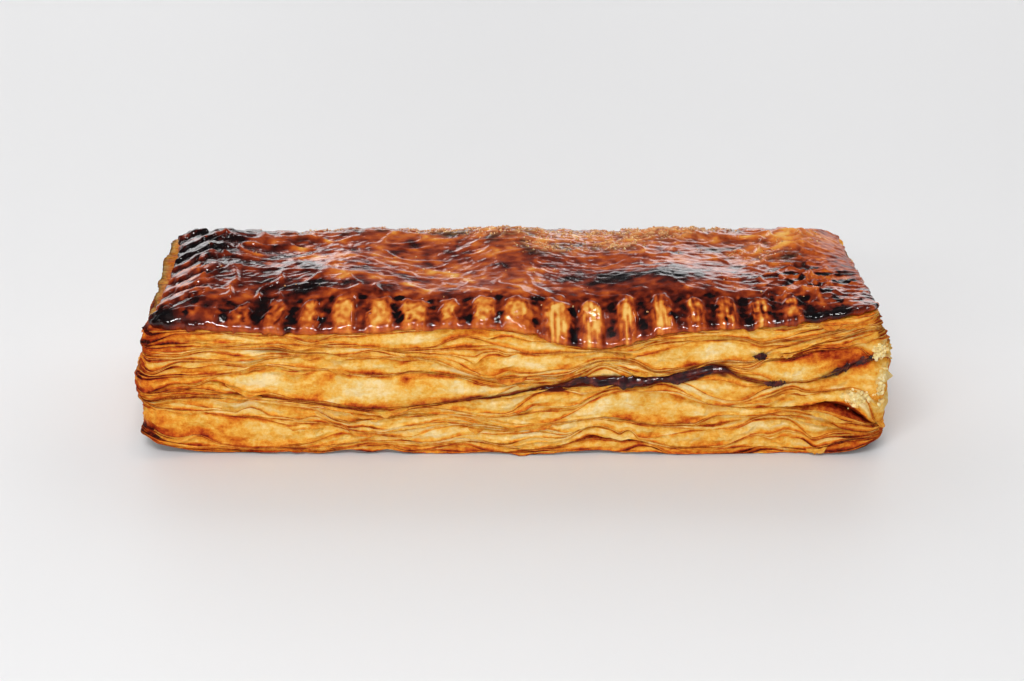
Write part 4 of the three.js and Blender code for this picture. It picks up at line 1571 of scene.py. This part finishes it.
@dataclass
class Scatter:
    """Grains laid on a surface: low icosahedra, each squashed, turned and toned on its own."""

    name: str
    centres: Array
    sizes: tuple[float, float]
    seed: int
    sink: float = 0.25

    def build(self, finish: bpy.types.Material) -> bpy.types.Object:
        """Makes all the grains as one piece.

        Args:
            finish: Its material.

        Returns:
            The new object.
        """
        rng = np.random.default_rng(self.seed)
        golden = (1 + 5**0.5) / 2
        corners = np.array([(0, s, t * golden) for s in (-1, 1) for t in (-1, 1)], float)
        base = np.concatenate([np.roll(corners, k, axis=1) for k in range(3)])
        base /= np.linalg.norm(base[0])
        near = np.linalg.norm(base[:, None] - base[None], axis=-1)
        side = near[near > 0.01].min() * 1.01
        i, j, k = np.meshgrid(*[np.arange(12)] * 3, indexing="ij")
        pick = (i < j) & (j < k) & (near[i, j] < side) & (near[j, k] < side) & (near[i, k] < side)
        faces = np.stack([i[pick], j[pick], k[pick]], -1)
        normal = np.cross(base[faces[:, 1]] - base[faces[:, 0]], base[faces[:, 2]] - base[faces[:, 0]])
        inward = np.einsum("ij,ij->i", normal, base[faces].mean(axis=1)) < 0
        faces[inward] = faces[inward][:, ::-1]
        count = len(self.centres)
        turns = np.linalg.qr(rng.standard_normal((count, 3, 3)))[0]
        turns *= np.sign(np.linalg.det(turns))[:, None, None]
        stretch = rng.uniform(0.55, 1.2, (count, 1, 3))
        lumps = 1 + rng.uniform(-0.22, 0.22, (count, 12, 1))
        radius = 0.5 * rng.uniform(*self.sizes, (count, 1, 1))
        shapes = (base[None] * lumps * stretch * radius) @ turns
        centres = self.centres + np.array([0, 0, 1.0]) * (0.5 - self.sink) * radius[:, 0]
        vertices = (shapes + centres[:, None]).reshape(-1, 3)
        polygons = (faces[None] + 12 * np.arange(count)[:, None, None]).reshape(-1, 3)
        tone = np.repeat(np.clip(rng.normal(0.5, 0.22, count), 0, 1), 12)
        return Piece(self.name, Slot.CRUMBS, vertices, [polygons], {"tone": tone}).build(finish)


def sugar_places(crust: Crust, count: int, seed: int) -> Array:
    """Places for grains on the crust: thick where it is sugared, and a few elsewhere.

    Args:
        crust: The crust that they lie on.
        count: Grains tried.
        seed: For the draw.

    Returns:
        Points on the crust.
    """
    rng = np.random.default_rng(seed)
    u, v = rng.uniform(-0.97, 0.97, count), rng.uniform(-0.95, 0.97, count)
    i, j = crust.nearest(u, v)
    thick = np.clip(crust.patches(crust.sugared) - 0.12, 0, 1)
    density = 0.002 + 1.1 * thick * np.clip(0.3 + 1.1 * crust.noise(2.6, 3), 0, 2.4)
    kept = rng.uniform(size=count) < density[i, j]
    return np.stack([crust.x, crust.y, crust.z], -1)[i[kept], j[kept]]


def crumb_places(wall: FlakyWall, seed: int) -> Array:
    """Places for crumbs: a chunk and a powdery patch by the right corner.

    Args:
        wall: The wall that they cling to.
        seed: For the draw.

    Returns:
        Points on the wall's lips, or heaped just outside them.
    """
    rng = np.random.default_rng(seed)
    sunk = 0.05
    # Each clump: station, height, count, spread along (stations) and up (mm), heap (mm).
    clumps = (
        (20.75, 23.2, 150, 0.1, 0.7, 0.5), (20.2, 12.6, 150, 0.17, 0.8, 0.15), (20.9, 15, 60, 0.1, 2, 0.1),
    )
    drawn = [
        (rng.normal(centre, along, count), rng.normal(level, up, count), rng.normal(0, out, count))
        for centre, level, count, along, up, out in clumps
    ]
    station, height, heap = (np.concatenate(values) for values in zip(*drawn))
    x, y = BLOCK.outline(station, wall.reach_at(station, height) - sunk + np.abs(heap))
    return np.stack([x, y, height - sunk], -1)


# ---------------------------------------------------------------------------------------------- the studio


class Lights(Enum):
    """What a lamp shows in: matt surfaces, reflections in glossy ones, or both."""

    MATT = "matt"
    GLOSS = "gloss"
    BOTH = "both"


@dataclass(frozen=True)
class Lamp:
    """A rectangular softbox aimed at the pastry, sizes in mm."""

    name: str
    place: tuple[float, float, float]
    wide: float
    high: float
    power: float
    lights: Lights
    colour: str = "ffffff"

    def build(self) -> None:
        """Makes the lamp."""
        light = bpy.data.lights.new(self.name, "AREA")
        light.shape = "RECTANGLE"
        light.size, light.size_y = self.wide * MM, self.high * MM
        light.energy = self.power
        light.color = linear_colour(self.colour)[:3]
        lamp = bpy.data.objects.new(self.name, light)
        lamp.location = Vector(self.place) * MM
        lamp.visible_glossy = self.lights != Lights.MATT
        lamp.visible_diffuse = self.lights != Lights.GLOSS
        aim = Vector((0, 0, 15)) * MM - lamp.location
        lamp.rotation_euler = aim.to_track_quat("-Z", "Y").to_euler()
        bpy.context.scene.collection.objects.link(lamp)


@dataclass(frozen=True)
class Studio:
    """A pale floor under soft light, seen from in front and above."""

    elevation: float = 24.0
    distance: float = 421.0  # to the middle of the pastry's front edge, along the view
    below_centre: float = 23.3  # how far that edge lies under the middle of the view
    lens: float = 72.07
    floor: float = 3000.0
    lamps: tuple[Lamp, ...] = (
        Lamp("key_front_left", (-200, -860, 430), 900, 110, 4.0, Lights.MATT, "fffefc"),
        Lamp("fill_front_low", (0, -1000, 170), 1500, 300, 1.5, Lights.MATT),
        Lamp("glint_front", (-140, -500, 700), 460, 110, 11.0, Lights.GLOSS),
        Lamp("softbox_above_front", (0, -330, 1000), 900, 900, 1.6, Lights.MATT),
        Lamp("softbox_left", (-900, 620, 620), 1100, 1100, 4.8, Lights.MATT),
        Lamp("softbox_right", (900, 620, 620), 1100, 1100, 4.4, Lights.MATT),
        Lamp("softbox_back", (0, 1000, 700), 1100, 700, 4.0, Lights.MATT),
        Lamp("strip_front_high", (-120, -520, 700), 520, 130, 3.0, Lights.BOTH),
        Lamp("small_above", (70, 60, 900), 70, 70, 0.4, Lights.BOTH),
        Lamp("panel_back_left", (-430, 1100, 370), 560, 400, 1.25, Lights.BOTH),
        Lamp("panel_back_right", (330, 1150, 370), 480, 380, 0.9, Lights.BOTH),
    )
    # The sky from straight down to straight up, multiplied by the sky from front to back.
    upwards: Table = (
        (0.0, "ffffff"), (0.15, "f4f2f4"), (0.24, "747274"), (0.35, "302e30"), (0.8, "2c2a2c"),
        (1.0, "484848"),
    )
    backwards: Table = ((0.0, "242224"), (0.5, "7c7a7c"), (0.85, "ffffff"))
    sky_strength: float = 1.3

    def build(self) -> None:
        """Makes the floor, the lights, the sky and the camera."""
        self.build_floor()
        for lamp in self.lamps:
            lamp.build()
        self.build_sky()
        self.build_camera()
        bpy.context.scene.view_settings.view_transform = "Standard"

    def build_floor(self) -> None:
        """A level matt sheet under the pastry."""
        half = self.floor / 2 * MM
        mesh = bpy.data.meshes.new("floor")
        corners = [(-half, -half, 0), (half, -half, 0), (half, half, 0), (-half, half, 0)]
        mesh.from_pydata(corners, [], [(0, 1, 2, 3)])
        mesh.materials.append(Board().build())
        floor = bpy.data.objects.new("floor", mesh)
        bpy.context.scene.collection.objects.link(floor)
        floor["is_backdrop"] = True

    def build_sky(self) -> None:
        """A sky that is bright only low down and behind, so that the glaze mirrors it in streaks."""
        world = bpy.data.worlds.new("studio_sky")
        world.use_nodes = True
        tree = world.node_tree
        direction = add_node(tree, "TexCoord", out="Generated")
        split = add_node(tree, "SeparateXYZ", {"Vector": direction}).node.outputs
        glow = colour_ramp(tree, split["Z"], self.upwards)
        behind = colour_ramp(tree, split["Y"], self.backwards)
        both = {0: 1.0, MIX_FIRST: glow, MIX_SECOND: behind}
        sky = add_node(tree, "Mix", both, MIX_RESULT, data_type="RGBA", blend_type="MULTIPLY")
        background = tree.nodes["Background"].inputs
        tree.links.new(sky, background["Color"])
        background["Strength"].default_value = self.sky_strength
        bpy.context.scene.world = world

    def build_camera(self) -> None:
        """A long lens at the viewing angle."""
        tilt = math.radians(self.elevation)
        ahead = Vector((0, math.cos(tilt), -math.sin(tilt)))
        up = Vector((0, math.sin(tilt), math.cos(tilt)))
        front_edge = Vector((0, -BLOCK.width / 2 - 0.5, 0))
        place = front_edge - self.distance * ahead + self.below_centre * up
        camera = bpy.data.objects.new("camera", bpy.data.cameras.new("camera"))
        camera.data.lens = self.lens
        camera.data.sensor_width = 36.0
        camera.data.clip_start = 0.01
        turn = Matrix((Vector((1, 0, 0)), up, -ahead)).transposed().to_4x4()
        turn.translation = place * MM
        camera.matrix_world = turn
        bpy.context.scene.collection.objects.link(camera)
        bpy.context.scene.camera = camera


def main() -> None:
    """Builds the pastry and its studio."""
    cad_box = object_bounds()
    logging.basicConfig(level=logging.INFO, format="%(message)s")
    Studio().build()
    dough = BakedLeaf().build()
    wall = FlakyWall()
    wall.build(dough)
    crust = Crust()
    crust.build(GlazedCrust().build())
    Flakes(wall).build(dough)
    GlazeRuns(wall).build(BurntGlaze().build())
    sugar = Grain("baked_sugar", ((0.0, "b06c34"), (0.5, "d49a5c"), (1.0, "f0cf9c")), 0.35)
    Scatter("sugar_grains", sugar_places(crust, 30000, 5), (0.2, 0.55), 6).build(sugar.build())
    crumb = Grain("pale_dough_crumb", ((0.0, "deae5a"), (0.5, "efd38c"), (1.0, "f8e9bc")), 0.7)
    Scatter("dough_crumbs", crumb_places(wall, 7), (0.4, 1.0), 8).build(crumb.build())
    boxes = {"cad": cad_box, "visual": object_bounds()}
    plain = {name: [[float(c) for c in corner] for corner in box] for name, box in boxes.items()}


if __name__ == "__main__":
    main()
